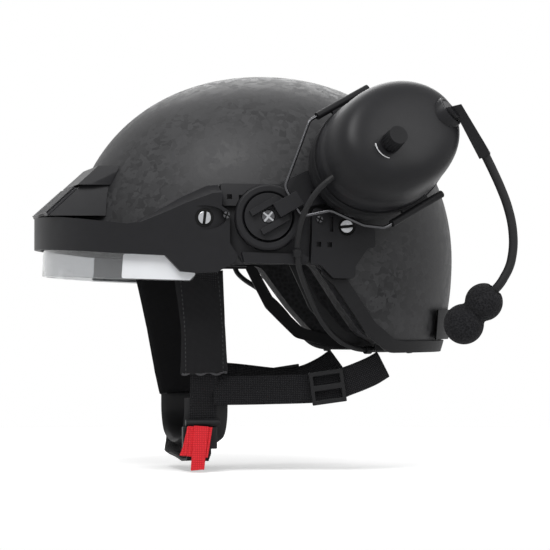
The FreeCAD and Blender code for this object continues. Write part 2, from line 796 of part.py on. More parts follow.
def make_rail_screws():
    slot = (3 * screw_head, screw_wall, bolt_slot / 2)
    rear = side_screw(rear_screw_share, panel_wall + 2 * seat, screw_head, screw_shaft, screw_wall, screw_reach, slot)
    place = side_point(front_screw_share)
    top = -peak_face(place.x) - 2 * seat
    front = cross_rod(screw_head, front_screw_share, top, top - screw_wall)
    front = front.fuse(cross_rod(screw_shaft, front_screw_share, top + screw_reach, top))
    front = front.cut(centred((place.x, top - screw_wall, place.z), slot))
    return Part.makeCompound([rear, mirrored(rear), front, mirrored(front)])


# Swivels and wire forks

def make_swivel_base():
    ring = rod(swivel_radius, -overrun, swivel_top)
    ring = ring.cut(rod(rotor_radius + clear, swivel_top - rotor_sink, 2 * swivel_top))
    ring = ring.makeChamfer(rotor_sink / 3, [edge for edge in ring.Edges if edge.BoundBox.ZMin > swivel_top - seat])
    ring = ring.cut(rod(pivot_screw_shaft + running, -2 * overrun, swivel_top))
    return put(ring, swivel_frame()).cut(dome(rail_floor + seat))


def make_rotor():
    low = swivel_top - rotor_sink + seat
    high = swivel_top + rotor_rise
    rotor = rod(rotor_radius, low, high)
    lugs = []
    for sign in (-1, 1):
        inner = sign * lug_gap / 2
        outer = sign * (lug_gap / 2 + lug_wall)
        lugs.append(block(-lug_length / 2, lug_length / 2 + overrun / 3, min(inner, outer), max(inner, outer),
                          high - seat, high + lug_rise))
    rotor = rotor.fuse(lugs)
    rotor = rotor.cut(rod(pivot_screw_head + clear, high - pivot_screw_wall, high + swivel_top))
    rotor = rotor.cut(rod(pivot_screw_shaft + seat, low - overrun, high))
    return put(rotor, swivel_frame())


def make_pivot_screw():
    high = swivel_top + rotor_rise
    top = high - pivot_screw_wall + seat
    screw = rod(pivot_screw_head, top, top + pivot_screw_wall)
    screw = screw.fuse(rod(pivot_screw_shaft, overrun, top))
    for size in ((2 * pivot_screw_head * 0.7, bolt_slot), (bolt_slot, 2 * pivot_screw_head * 0.7)):
        screw = screw.cut(centred((0, 0, top + pivot_screw_wall), (size[0], size[1], pivot_screw_wall)))
    return put(screw, swivel_frame())


def bore_height():
    return swivel_top + rotor_rise + block_rise / 2


def make_arm_block():
    low = swivel_top + rotor_rise + seat / 5
    arm = block(block_start, block_start + block_length, -lug_gap / 2 + seat / 5, lug_gap / 2 - seat / 5,
                low, low + block_rise)
    bore = Part.makeCylinder(wire_radius + running, 2 * lug_gap, V(bore_run, -lug_gap, bore_height()), V(0, 1, 0))
    arm = arm.cut(bore)
    return put(arm, swivel_frame())


def cup_frame():
    return pose(V(*cup_place), V(*cup_long), V(*cup_normal))


def sleeve_line(side):
    where = cup_frame()
    height = sleeve_lift
    inner = where.multVec(V(-sleeve_half - wire_bend, side * sleeve_side, height))
    outer = where.multVec(V(wire_insert, side * sleeve_side, height))
    return inner, outer


def make_fork():
    hub = swivel_frame()
    cup = cup_frame()
    upper = hub.multVec(V(bore_run, lug_gap * 1.1, bore_height()))
    lower = hub.multVec(V(bore_run, -lug_gap * 1.1, bore_height()))
    bend_one, end_one = sleeve_line(1)
    bend_two, end_two = sleeve_line(-1)
    knees = [cup.multVec(V(*knee)) for knee in fork_knees]
    points = [end_one, bend_one, knees[0], upper, lower, knees[1], knees[2], bend_two, end_two]
    return tube(points, wire_radius, wire_bend, "wire fork")


# Ear cups

def ear_dome(inset, base=None):
    """Domed shell of an ear cup, hollow when base is left out."""
    reach = cup_half_length - cup_inset
    rise = cup_depth
    if base is None:
        edges = [quarter(reach, rise, cup_pull), Part.makeLine(V(reach, 0, 0), V(reach - inset, 0, 0)),
                 quarter(reach - inset, rise - inset, cup_pull),
                 Part.makeLine(V(0, 0, rise - inset), V(0, 0, rise))]
    else:
        edges = [quarter(reach - inset, rise - inset, cup_pull),
                 Part.makeLine(V(reach - inset, 0, 0), V(reach - inset, 0, -base)),
                 Part.makeLine(V(reach - inset, 0, -base), V(0, 0, -base)),
                 Part.makeLine(V(0, 0, -base), V(0, 0, rise - inset))]
    body = Part.Face(Part.Wire(edges)).revolve(V(0, 0, 0), V(0, 0, 1), 360)
    stretch = FreeCAD.Matrix()
    stretch.scale(1, (cup_half_width - cup_inset) / reach, 1)
    return body.transformGeometry(stretch)


def oval_ring(half_reach, half_side, low, high):
    column = rod(half_reach, low, high)
    stretch = FreeCAD.Matrix()
    stretch.scale(1, half_side / half_reach, 1)
    return column.transformGeometry(stretch)


def knob_seat_height():
    reach = cup_half_length - cup_inset
    side = cup_half_width - cup_inset
    out = math.sqrt((knob_place[0] / reach) ** 2 + (knob_place[1] / side) ** 2)
    low = 0.0
    high = 1.0
    for _ in range(40):
        level = (low + high) / 2
        if across_at(level, cup_pull) > out:
            low = level
        else:
            high = level
    return cup_depth * level


def boom_frame():
    hub = cup_frame()
    foot = hub.multVec(V(*boom_foot))
    axis = hub.Rotation.multVec(V(boom_tilt_share[0], 0, boom_tilt_share[1]))
    return pose(foot, V(*boom_arm_end) - foot, axis)


def make_cup_shell(left):
    shell = ear_dome(cup_wall)
    if left:
        foot = pose(V(*boom_foot), V(0, 1, 0), V(boom_tilt_share[0], 0, boom_tilt_share[1]))
        disc = put(rod(boom_disc, -boom_disc, boom_disc_wall), foot).cut(ear_dome(cup_wall, overrun))
        shell = shell.fuse(disc)
        shell = shell.cut(rod(knob_shaft + running, 0, 2 * cup_depth, knob_place[0], knob_place[1]))
        shell = shell.cut(put(rod(knob_shaft + running, -boom_disc, boom_disc), foot))
    shell = put(shell, cup_frame())
    return shell.cut(tube(vectors(lead_link_route[:4]), lead_radius + clear))


def make_cup_plate():
    plate = oval_ring(cup_half_length, cup_half_width, -cup_plate_wall, -seat / 2)
    plate = plate.cut(oval_ring(speaker_hole, speaker_hole, -cup_plate_wall - overrun, overrun))
    for side in (-1, 1):
        line = V(-sleeve_half, side * sleeve_side, sleeve_lift)
        sleeve = Part.makeCylinder(sleeve_radius, 2 * sleeve_half, line, V(1, 0, 0))
        low = cup_half_width * 0.9 if side > 0 else -sleeve_side
        web = block(-sleeve_half * 0.5, sleeve_half * 0.5, low, low + sleeve_side - cup_half_width * 0.9,
                    sleeve_lift - sleeve_web, sleeve_lift + sleeve_web)
        plate = plate.fuse([sleeve, web])
        plate = plate.cut(Part.makeCylinder(wire_radius + running, 4 * sleeve_half, line - V(sleeve_half, 0, 0),
                                            V(1, 0, 0)))
    return put(plate, cup_frame())


def make_cushion():
    inner = cup_half_length - cushion_width
    low = -cup_plate_wall - cushion_wall
    high = -cup_plate_wall - seat
    outer = cup_half_length - cushion_inset
    corners = [V(inner, 0, high), V(inner, 0, low), V(outer, 0, low), V(outer, 0, high)]
    ring = Part.Face(rounded(corners, cushion_round)).revolve(V(0, 0, 0), V(0, 0, 1), 360)
    stretch = FreeCAD.Matrix()
    stretch.scale(1, cup_half_width / cup_half_length, 1)
    return put(ring.transformGeometry(stretch), cup_frame())


def make_speaker():
    body = rod(speaker_radius, seat / 2, speaker_wall)
    body = body.fuse(rod(speaker_hole - clear, -cup_plate_wall * 0.6, seat))
    return put(body, cup_frame())


def make_knob():
    low = knob_seat_height() + 4 * clear
    knob = Part.makeCone(knob_radius, knob_radius * 0.94, knob_height, V(knob_place[0], knob_place[1], low))
    for i in range(knob_flutes):
        turn = 2 * math.pi * i / knob_flutes
        x = knob_place[0] + knob_radius * math.cos(turn)
        y = knob_place[1] + knob_radius * math.sin(turn)
        knob = knob.cut(rod(knob_flute, low + knob_flute, low + knob_height * 0.9, x, y))
    knob = knob.fuse(rod(knob_shaft, low - 2 * cup_wall, low + knob_flute, knob_place[0], knob_place[1]))
    return put(knob, cup_frame())


# Boom microphone

def make_boom_block():
    where = boom_frame()
    hub = rod(boom_hub, boom_disc_wall + seat, boom_reach - boom_side / 2)
    hub = hub.fuse(rod(knob_shaft, -boom_disc * 0.6, boom_disc_wall + boom_sink))
    head = centred((0, 0, boom_reach), (boom_side * 1.6, boom_side, boom_side))
    body = put(hub.fuse(head), where)
    elbow = where.multVec(V(0, 0, boom_reach))
    end = V(*boom_arm_end)
    reach = (end - elbow).Length
    arm = block(-boom_side / 2, boom_side / 2, -boom_side / 2, boom_side / 2, 0, reach)
    arm = put(arm, pose(elbow, where.Rotation.multVec(V(0, 0, 1)), end - elbow))
    return body.fuse(arm)


def boom_line():
    end = V(*boom_arm_end)
    run = V(*boom_route[0]) - end
    run.normalize()
    return [end + run * boom_radius * 0.4] + vectors(boom_route) + [mic_entry() - mic_axis() * mic_run, mic_entry()]


def mic_axis():
    axis = V(*mic_lower) - V(*mic_upper)
    axis.normalize()
    return axis


def mic_entry():
    return V(*mic_upper) - mic_axis() * (capsule_back + seat)


def make_boom_arm():
    return tube(boom_line(), boom_radius, None, "boom")


def make_mic_body():
    where = pose(V(*mic_upper), V(0, 1, 0), mic_axis())
    return put(rod(capsule_radius, -capsule_back, capsule_length - capsule_back), where)


def make_mic_muff():
    where = pose(V(*mic_upper), V(0, 1, 0), mic_axis())
    upper = Part.makeSphere(mic_upper_radius)
    lower = Part.makeSphere(mic_lower_radius)
    stretch = FreeCAD.Matrix()
    stretch.scale(mic_lower_stretch, 1, 1)
    lower = lower.transformGeometry(stretch)
    lower.translate(V(0, 0, (V(*mic_lower) - V(*mic_upper)).Length))
    muff = upper.fuse(lower)
    muff = muff.cut(rod(capsule_radius + clear, -2 * mic_upper_radius, capsule_length - capsule_back + clear))
    muff = muff.cut(rod(boom_radius + muff_gap, -2 * mic_upper_radius, 0))
    return put(muff, where)


# Headset lead

def make_rear_lead():
    near = vectors(lead_rear_route)
    far = [V(p.x, -p.y, p.z) for p in near]
    far[2:2 + len(far_lead_rise)] = vectors(far_lead_rise)
    return tube(near + far[::-1], lead_radius, None, "headset lead")


def make_lead_clips():
    clips = []
    for number, share in ((0, 0.3), (6, 0.5), (8, 0.5)):
        start = V(*lead_rear_route[number])
        run = V(*lead_rear_route[number + 1]) - start
        middle = start + run * share
        run.normalize()
        ring = rod(clip_outer, -clip_length / 2, clip_length / 2)
        ring = ring.cut(rod(lead_radius + clear, -clip_length, clip_length))
        clips.append(put(ring, pose(middle, V(0, 0, 1), run)))
    return Part.makeCompound(clips + [mirrored(clip) for clip in clips])


# Chin harness

def make_front_web():
    return ribbon(vectors(front_web), [web_width] * len(front_web), web_wall)


def make_front_web_far():
    line = vectors(far_web)
    return ribbon(line, [web_width] * (len(line) - len(tail_widths)) + list(tail_widths), web_wall)


def make_cover(line, widths, web):
    outer = ribbon(vectors(line), widths, cover_wall)
    inner = ribbon(vectors(web), [web_width + cover_play] * len(web), web_wall + 4 * seat)
    return outer.cut(inner)


def make_rear_web(line):
    return ribbon(vectors(line), [rear_web_width] * len(line), web_wall, V(0, 0, 1))


def make_slider():
    frame = centred((0, 0, 0), slider_size)
    offset = slider_size[0] / 4 - slider_lap
    for sign in (-1, 1):
        frame = frame.cut(centred((sign * offset, 0, 0), (slider_window[0], 2 * slider_size[1], slider_window[1])))
    lean = math.radians(slider_angle)
    return put(frame, pose(V(*slider_place), V(math.cos(lean), 0, math.sin(lean)).cross(V(0, 1, 0)),
                           V(math.cos(lean), -0.15, math.sin(lean))))


def make_chin_pad():
    near = vectors(pad_line)
    far = [V(p.x, -p.y, p.z) for p in reversed(near[:-1])]
    line = near + far
    return ribbon(line, [pad_width] * len(line), pad_thick)


def make_anchors():
    tabs = []
    for place, size in zip(anchor_places, anchor_sizes):
        tab = centred(place, size)
        tabs += [tab, mirrored(tab)]
    return Part.makeCompound(tabs)


# Buckle

def make_receiver():
    body = centred(receiver_place, receiver_size)
    low = receiver_place[2] - receiver_size[2] / 2
    opening = (tongue_width + tongue_play, tongue_wall + tongue_play, 2 * mouth_depth)
    mouth = centred((receiver_place[0], receiver_place[1], low), opening)
    return body.cut(mouth)


def make_tongue():
    return ribbon(vectors(tongue_line), [tongue_width] * len(tongue_line), tongue_wall)


def make_lever():
    start = V(lever_place[0] - lever_length / 2, lever_place[1], lever_place[2])
    return Part.makeCylinder(lever_radius, lever_length, start, V(1, 0, 0))


def make_tab():
    top = lever_place[2]
    y = lever_place[1] - lever_radius - tab_wall - seat
    x = lever_place[0]
    low = top - tab_height
    end = low - tab_tail_height
    tail = x + tab_drift / 2
    outline = [V(x - tab_top_width / 2, y, top), V(x + tab_top_width / 2, y, top),
               V(x + tab_drift + tab_bottom_width / 2, y, low), V(tail + tab_tail_width / 2, y, low),
               V(tail + tab_tail_width / 2, y, end), V(tail - tab_tail_width / 2, y, end),
               V(tail - tab_tail_width / 2, y, low), V(x + tab_drift - tab_bottom_width / 2, y, low)]
    return Part.Face(Part.makePolygon(outline + [outline[0]])).extrude(V(0, tab_wall, 0))


def make_bracket():
    face = side_prism(bracket_shares, -half_width, half_width)
    return skin(trim_wall + seat, trim_wall + bracket_wall).common(face)


nodes = {}
nodes["helmet_shell"] = make_shell()
nodes["edge_trim"] = make_trim()
nodes["foam_liner"] = make_liner()
nodes["crown_pad"] = make_crown_pad()
nodes["comfort_pads"] = make_comfort_pads()
nodes["fit_band"] = make_fit_band()
nodes["fit_dial"] = make_fit_dial()
nodes["peak_housing"] = make_peak()
nodes["visor_lens"] = make_visor()
nodes["visor_side_plates"] = make_visor_plates()
nodes["vent_fairing"] = make_fairing()
nodes["louvre_panel"] = make_louvre_panel()
nodes["fairing_cap"] = make_fairing_cap()
nodes["rail_bolts"] = make_rail_bolts()
nodes["rail_screws"] = make_rail_screws()
paired = {
    "rail": make_rail_left(),
    "rail_panel": make_panel_left(),
    "swivel_base": make_swivel_base(),
    "swivel_rotor": make_rotor(),
    "swivel_screw": make_pivot_screw(),
    "arm_block": make_arm_block(),
    "wire_fork": make_fork(),
    "cup_plate": make_cup_plate(),
    "ear_cushion": make_cushion(),
    "speaker": make_speaker(),
    "lead_link": tube(vectors(lead_link_route), lead_radius, None, "lead link"),
}
for name, shape in paired.items():
    nodes["left_" + name] = shape
    nodes["right_" + name] = mirrored(shape)
nodes["left_cup_shell"] = make_cup_shell(True)
nodes["right_cup_shell"] = mirrored(make_cup_shell(False))
nodes["volume_knob"] = make_knob()
nodes["boom_block"] = make_boom_block()
nodes["boom_arm"] = make_boom_arm()
nodes["mic_body"] = make_mic_body()
nodes["mic_muff"] = make_mic_muff()
nodes["headset_lead"] = make_rear_lead()
nodes["lead_clips"] = make_lead_clips()
nodes["nape_bracket"] = make_bracket()
nodes["left_front_strap"] = make_front_web()
nodes["left_strap_cover"] = make_cover(cover_line, cover_widths, front_web)
nodes["right_strap_cover"] = make_cover(far_cover_line, far_cover_widths, far_web)
nodes["left_rear_strap"] = make_rear_web(rear_web)
nodes["right_rear_strap"] = make_rear_web(far_rear_web)
nodes["right_front_strap"] = make_front_web_far()
nodes["strap_sliders"] = both(make_slider())
nodes["strap_anchors"] = make_anchors()
nodes["chin_pad"] = make_chin_pad()
nodes["buckle_receiver"] = make_receiver()
nodes["buckle_tongue"] = make_tongue()
nodes["release_lever"] = make_lever()
nodes["pull_tab"] = make_tab()

os.makedirs("parts", exist_ok=True)
for name, shape in nodes.items():
    shape.exportStep("parts/" + name + ".step")
    solids = shape.Solids
    print(name, len(solids), round(shape.Volume), "valid" if shape.isValid() else "NOT VALID")
print("nodes", len(nodes))
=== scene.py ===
import json
import math
import random
from contextlib import contextmanager
import bmesh
import bpy
from mathutils import Matrix, Vector


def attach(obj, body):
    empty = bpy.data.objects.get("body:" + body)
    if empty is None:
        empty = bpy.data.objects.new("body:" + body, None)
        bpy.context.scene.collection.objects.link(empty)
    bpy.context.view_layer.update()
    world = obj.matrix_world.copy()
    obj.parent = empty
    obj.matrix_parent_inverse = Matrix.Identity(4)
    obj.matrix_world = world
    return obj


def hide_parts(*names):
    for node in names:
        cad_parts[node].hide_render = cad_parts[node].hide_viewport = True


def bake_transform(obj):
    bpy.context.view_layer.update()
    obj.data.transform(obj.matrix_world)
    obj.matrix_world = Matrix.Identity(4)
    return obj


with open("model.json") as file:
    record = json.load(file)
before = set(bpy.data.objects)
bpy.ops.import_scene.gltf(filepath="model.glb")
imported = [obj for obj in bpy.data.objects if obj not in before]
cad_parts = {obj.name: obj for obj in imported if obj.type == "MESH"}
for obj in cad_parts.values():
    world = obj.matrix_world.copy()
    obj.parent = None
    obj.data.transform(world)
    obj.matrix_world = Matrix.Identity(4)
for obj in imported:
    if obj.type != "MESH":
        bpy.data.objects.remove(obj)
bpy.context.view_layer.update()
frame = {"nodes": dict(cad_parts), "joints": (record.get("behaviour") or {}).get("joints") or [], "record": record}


# Shell. Moulded composite half shell, pressed from chopped fibre bundles in black resin and
# left matte, so that the chips show as dull grey flakes that lie in all directions.
class Tone:
    """One output socket of a finish, which adds Math nodes when it is used in an expression."""

    def __init__(self, finish, socket):
        self.finish = finish
        self.socket = socket

    def sum_with(self, operation, *values):
        return self.finish.node("ShaderNodeMath", {"operation": operation}, *values)

    def __add__(self, other):
        return self.sum_with("ADD", self, other)

    def __rsub__(self, other):
        return self.sum_with("SUBTRACT", other, self)

    def __mul__(self, other):
        return self.sum_with("MULTIPLY", self, other)

    def __gt__(self, other):
        return self.sum_with("GREATER_THAN", self, other)

    __radd__ = __add__
    __rmul__ = __mul__


class Finish:
    """A material whose nodes are written as expressions."""

    def __init__(self, name, **constants):
        self.material = bpy.data.materials.new(name)
        self.material.use_nodes = True
        self.tree = self.material.node_tree
        self.shader = self.tree.nodes["Principled BSDF"]
        for socket, value in constants.items():
            self.shader.inputs[socket.replace("_", " ")].default_value = value

    def feed(self, socket, value):
        if isinstance(value, Tone):
            self.tree.links.new(value.socket, socket)
        else:
            socket.default_value = value

    def node(self, kind, settings, *values, out=0, named=None):
        node = self.tree.nodes.new(kind)
        for key, value in settings.items():
            if key == "stops":
                for element, (place, colour) in zip(node.color_ramp.elements, value):
                    element.position = place
                    element.color = colour
            else:
                setattr(node, key, value)
        for socket, value in zip(node.inputs, values):
            self.feed(socket, value)
        for key, value in (named or {}).items():
            self.feed(node.inputs[key], value)
        return Tone(self, node.outputs[out])

    def place(self, kind="Object"):
        node = self.tree.nodes.new("ShaderNodeTexCoord")
        return Tone(self, node.outputs[kind])

    def stretched(self, scale, turn=(0, 0, 0)):
        return self.node("ShaderNodeMapping", {}, named={
            "Vector": self.place(), "Scale": scale, "Rotation": turn})

    def noise(self, scale, detail=2.0, where=None):
        where = where or self.place()
        return self.node("ShaderNodeTexNoise", {}, named={
            "Vector": where, "Scale": scale, "Detail": detail})

    def cells(self, scale):
        return self.node("ShaderNodeTexVoronoi", {}, named={"Vector": self.place(), "Scale": scale})

    def wave(self, scale, where, across="X"):
        return self.node("ShaderNodeTexWave", {"bands_direction": across}, out=1,
                         named={"Vector": where, "Scale": scale})

    def blend(self, mask, dark, light):
        return self.node("ShaderNodeMix", {"data_type": "RGBA"}, out=2, named={
            0: mask, 6: (*dark, 1), 7: (*light, 1)})

    def bumped(self, height, strength, depth):
        return self.node("ShaderNodeBump", {}, named={
            "Height": height, "Strength": strength, "Distance": depth})

    def surface(self, **inputs):
        for socket, value in inputs.items():
            self.feed(self.shader.inputs[socket.replace("_", " ")], value)
        return self.material


def fibre_composite():
    finish = Finish("pressed_fibre_composite", IOR=1.45, Specular_IOR_Level=0.35)
    layers = []
    for turn, stretch in (((0.4, 0.9, 0.2), (1.0, 1.9, 1.5)), ((1.3, 0.3, 1.5), (1.0, 1.4, 2.0)),
                          ((0.8, 2.1, 2.4), (1.7, 1.0, 1.4))):
        lane = finish.stretched(stretch, turn)
        flake = finish.node("ShaderNodeTexVoronoi", {"distance": "MANHATTAN"}, out=1,
                            named={"Vector": lane, "Scale": 122.0})
        layers.append(finish.node("ShaderNodeSeparateColor", {}, flake))
    front = layers[1] > 0.5
    chips = layers[0] * front + layers[2] * (1 - front)
    strands = finish.noise(520.0, 2.0, finish.stretched((1.0, 0.2, 0.6), (0.5, 0.2, 0.9)))
    tone = chips * 0.6 + strands * 0.16 + finish.noise(7.0, 2.0) * 0.22
    colour = finish.blend(tone, (0.003, 0.003, 0.004), (0.046, 0.046, 0.048))
    relief = finish.noise(900.0, 3.0) * 0.4 + chips * 0.6
    return finish.surface(Base_Color=colour, Roughness=0.44 + chips * 0.18,
                          Normal=finish.bumped(relief, 0.12, 0.0006))


@contextmanager
def edited(mesh):
    """A mesh opened for editing, and written back at the end."""
    work = bmesh.new()
    work.from_mesh(mesh)
    yield work
    work.to_mesh(mesh)
    work.free()


def dressed(mesh, material, crease=None):
    """One material and smooth faces for a mesh, with its edges above the crease angle kept sharp."""
    if "custom_normal" in mesh.attributes:
        mesh.attributes.remove(mesh.attributes["custom_normal"])
    mesh.materials.clear()
    mesh.materials.append(material)
    mesh.polygons.foreach_set("use_smooth", [True] * len(mesh.polygons))
    if crease is not None:
        mesh.set_sharp_from_angle(angle=math.radians(crease))


def placed(name, data):
    """New object in the scene, at the origin."""
    holder = bpy.data.objects.new(name, data)
    bpy.context.scene.collection.objects.link(holder)
    return holder


def bevelled(piece, width, crease=30.0, harden=False):
    """Rounds the edges of a piece that are sharper than the crease angle."""
    bevel = piece.modifiers.new("soft edge", "BEVEL")
    bevel.width = width
    bevel.segments = 2
    bevel.limit_method = "ANGLE"
    bevel.angle_limit = math.radians(crease)
    bevel.harden_normals = harden


def moulding(node, material, edge=0.0004, crease=34.0):
    """Copy of a moulded piece with joined triangles, smooth faces and softly rounded edges."""
    mesh = frame["nodes"][node].data.copy()
    with edited(mesh) as work:
        bmesh.ops.remove_doubles(work, verts=work.verts, dist=weld_gap)
        bmesh.ops.dissolve_degenerate(work, edges=work.edges, dist=weld_gap / 2)
        bmesh.ops.dissolve_limit(work, angle_limit=flat_angle, verts=work.verts, edges=work.edges)
    dressed(mesh, material, crease)
    piece = placed(node + "_moulding", mesh)
    if edge:
        bevelled(piece, edge, crease, harden=True)
    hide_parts(node)
    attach(piece, body_holding[node])
    return piece


weld_gap = 2e-6
flat_angle = math.radians(0.3)
bodies = frame["record"]["behaviour"]["bodies"]
body_holding = {node: body for body, members in bodies.items() for node in members}
composite = fibre_composite()
moulding("helmet_shell", composite, 0.0006)


# Edge trim. Black moulded bumper pushed over the rim from the rail to the nape, with a
# bevelled outer face and a fine spark-eroded grain.
def grained_plastic(name, dark, light, rough=0.48, grain=1400.0):
    finish = Finish(name, IOR=1.46, Specular_IOR_Level=0.22)
    shade = finish.noise(9.0, 4.0) * 0.7 + finish.noise(160.0, 2.0) * 0.3
    colour = finish.blend(shade, dark, light)
    wear = rough + finish.noise(35.0, 3.0) * 0.14
    return finish.surface(Base_Color=colour, Roughness=wear,
                          Normal=finish.bumped(finish.noise(grain, 2.0), 0.16, 0.0003))


trim_plastic = grained_plastic("trim_plastic", (0.005, 0.005, 0.006), (0.013, 0.013, 0.014), 0.5)
moulding("edge_trim", trim_plastic, 0.0006, 26.0)
moulding("nape_bracket", trim_plastic)


# Foam liner. Black expanded foam moulded in one piece, its closed beads just showing at the
# surface, glued inside the shell.
def beaded_foam():
    finish = Finish("beaded_foam", IOR=1.4, Specular_IOR_Level=0.25)
    beads = finish.cells(330.0)
    colour = finish.blend(beads, (0.011, 0.011, 0.012), (0.026, 0.026, 0.028))
    return finish.surface(Base_Color=colour, Roughness=0.82 - beads * 0.2,
                          Normal=finish.bumped(1 - beads, 0.5, 0.0009))


moulding("foam_liner", beaded_foam(), 0.0015)


# Comfort pads. Foam pads in knitted lining fabric, stuck to the liner at the crown, brow,
# sides and nape, so they sink at their edges and swell in the middle.
def knitted_lining():
    finish = Finish("knitted_lining", IOR=1.4, Specular_IOR_Level=0.2,
                    Sheen_Weight=0.12, Sheen_Roughness=0.5)
    rows = finish.wave(150.0, finish.place(), "Z")
    loops = finish.wave(150.0, finish.place(), "DIAGONAL")
    knit = rows * loops
    colour = finish.blend(knit, (0.010, 0.010, 0.011), (0.030, 0.030, 0.032))
    return finish.surface(Base_Color=colour, Roughness=0.92 - knit * 0.1,
                          Normal=finish.bumped(knit, 0.5, 0.0006))


def settled(holder):
    """Mesh of an object with its modifiers applied. The object itself goes."""
    bpy.context.view_layer.update()
    seen = holder.evaluated_get(bpy.context.evaluated_depsgraph_get())
    mesh = bpy.data.meshes.new_from_object(seen)
    bpy.data.objects.remove(holder)
    return mesh


def stuffed(node, material, voxel, passes):
    """Soft piece with the seat of its CAD solid, its edges drawn in and its faces crowned."""
    mesh = frame["nodes"][node].data.copy()
    with edited(mesh) as work:
        bmesh.ops.remove_doubles(work, verts=work.verts, dist=weld_gap)
    draft = placed(node + "_draft", mesh)
    remesh = draft.modifiers.new("skin", "REMESH")
    remesh.mode = "VOXEL"
    remesh.voxel_size = voxel
    smooth = draft.modifiers.new("draw in", "SMOOTH")
    smooth.iterations = passes
    smooth.factor = 0.5
    shape = settled(draft)
    dressed(shape, material)
    piece = placed(node + "_stuffed", shape)
    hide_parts(node)
    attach(piece, body_holding[node])


lining = knitted_lining()
stuffed("crown_pad", lining, 0.002, 10)
stuffed("comfort_pads", lining, 0.002, 8)


# Fit band and dial. Nylon nape cradle inside the liner, drawn in by a lobed dial on a rack.
inner_plastic = grained_plastic("inner_plastic", (0.006, 0.006, 0.007), (0.015, 0.015, 0.016), 0.42)
moulding("fit_band", inner_plastic)
moulding("fit_dial", inner_plastic, 0.0006)


# Peak housing. Satin black moulding round the brow that holds the visor in its hollow and
# carries the bolt seats on its ears.
peak_plastic = grained_plastic("peak_plastic", (0.006, 0.006, 0.007), (0.015, 0.015, 0.017), 0.38)
moulding("peak_housing", peak_plastic, 0.0016, 30.0)


# Visor. Clear polycarbonate lens, thin and polished, with a white plate clipped to each arm.
def clear_lens():
    finish = Finish("clear_lens", IOR=1.5, Transmission_Weight=0.92, Roughness=0.03)
    haze = finish.noise(14.0, 3.0)
    colour = finish.blend(haze, (0.62, 0.63, 0.64), (0.72, 0.73, 0.74))
    return finish.surface(Base_Color=colour)


def white_plastic():
    finish = Finish("white_plastic", IOR=1.48)
    haze = finish.noise(30.0, 3.0)
    colour = finish.blend(haze, (0.76, 0.78, 0.81), (0.86, 0.87, 0.89))
    return finish.surface(Base_Color=colour, Roughness=0.26 + haze * 0.08)


moulding("visor_lens", clear_lens(), 0.0003)
moulding("visor_side_plates", white_plastic(), 0.0002)


# Fairing. Hollow wedge screwed above the peak, its front a panel of fine level ribs under a
# smooth raised cap.
fairing_plastic = grained_plastic("fairing_plastic", (0.007, 0.007, 0.008), (0.017, 0.017, 0.019), 0.42)
# The louvre panel's plastic is lighter than the fairing's: a painted reflection on its ribs.
louvre_painted_reflection = grained_plastic("louvre_painted_reflection", (0.020, 0.020, 0.022), (0.036, 0.036, 0.039), 0.32)
moulding("vent_fairing", fairing_plastic, 0.0006)
moulding("louvre_panel", louvre_painted_reflection, 0.0003)
moulding("fairing_cap", peak_plastic, 0.0008)


# Rails. Accessory rails along both sides with square and upright slots, and a rear panel each,
# all moulded in glass-filled nylon.
rail_plastic = grained_plastic("rail_plastic", (0.006, 0.006, 0.007), (0.016, 0.016, 0.018), 0.44)
for side in ("left", "right"):
    moulding(side + "_rail", rail_plastic, 0.0005, 30.0)
    moulding(side + "_rail_panel", peak_plastic, 0.0006, 30.0)


# Bolts and screws. Slotted bolts in bright turned steel, sunk in wells through the rail and
# the peak's ears, where the two front ones are the visor's hinge, and small dark cross-head screws.
# A black ring laid in each bolt's well and a black floor under each slot and cross are painted shade.
millimetre = 0.001
face_depth = 0.02 * millimetre
head_depth = 1.1 * millimetre
floor_top = -0.95 * millimetre
floor_low = -2.0 * millimetre
floor_share = 0.97
bolt_slot = 1.9 * millimetre
screw_slot = 0.9 * millimetre
point_gap = 1e-7
well_shade_ring = ((4.75, -2.3), (4.75, -1.3), (6.4, -1.3), (6.4, -2.3))


def turned_steel(name, tint, rough, ringed=0.3):
    finish = Finish(name, Metallic=1.0)
    rings = finish.noise(700.0, 2.0, finish.stretched((1.0, 0.15, 1.0)))
    colour = finish.blend(rings, [(1 - ringed) * part for part in tint], tint)
    return finish.surface(Base_Color=colour, Roughness=rough + rings * (0.4 * ringed))


def fasteners(node):
    """Middle of the head, and its radius, of each fastener of a node, from its own mesh."""
    groups = {}
    for vertex in frame["nodes"][node].data.vertices:
        groups.setdefault((vertex.co.y > 0, vertex.co.x > 0), []).append(vertex.co)
    found = []
    for points in groups.values():
        top = max(abs(point.y) for point in points)
        head = [point for point in points if abs(point.y) > top - face_depth]
        low = [min(point[axis] for point in head) for axis in (0, 2)]
        high = [max(point[axis] for point in head) for axis in (0, 2)]
        way = Vector((0, math.copysign(1, points[0].y), 0))
        middle = Vector(((low[0] + high[0]) / 2, way.y * top, (low[1] + high[1]) / 2))
        found.append((middle, way, (high[1] - low[1]) / 2))
    return found


def prism(outline, place, low, high):
    """Points and faces of a closed outline raised from one height to another."""
    verts = [place(x, y, height) for height in (low, high) for x, y in outline]
    return verts, hoops(2, len(outline)) + lids(2, len(outline))


def hoops(rings, steps, closed=False):
    """Faces between neighbouring rings of points, and from the last ring to the first if closed."""
    faces = []
    for ring in range(rings if closed else rings - 1):
        near = ring * steps
        far = (ring + 1) % rings * steps
        for i in range(steps):
            j = (i + 1) % steps
            faces.append((near + i, near + j, far + j, far + i))
    return faces


def lids(rings, steps):
    """Faces that close the first and the last ring."""
    return [tuple(range(steps)), tuple(range((rings - 1) * steps, rings * steps))]


def arc_points(radius, start, sweep, steps):
    """Steps + 1 places on an arc, as (x, y) pairs."""
    angles = [start + sweep * k / steps for k in range(steps + 1)]
    return [(radius * math.cos(angle), radius * math.sin(angle)) for angle in angles]


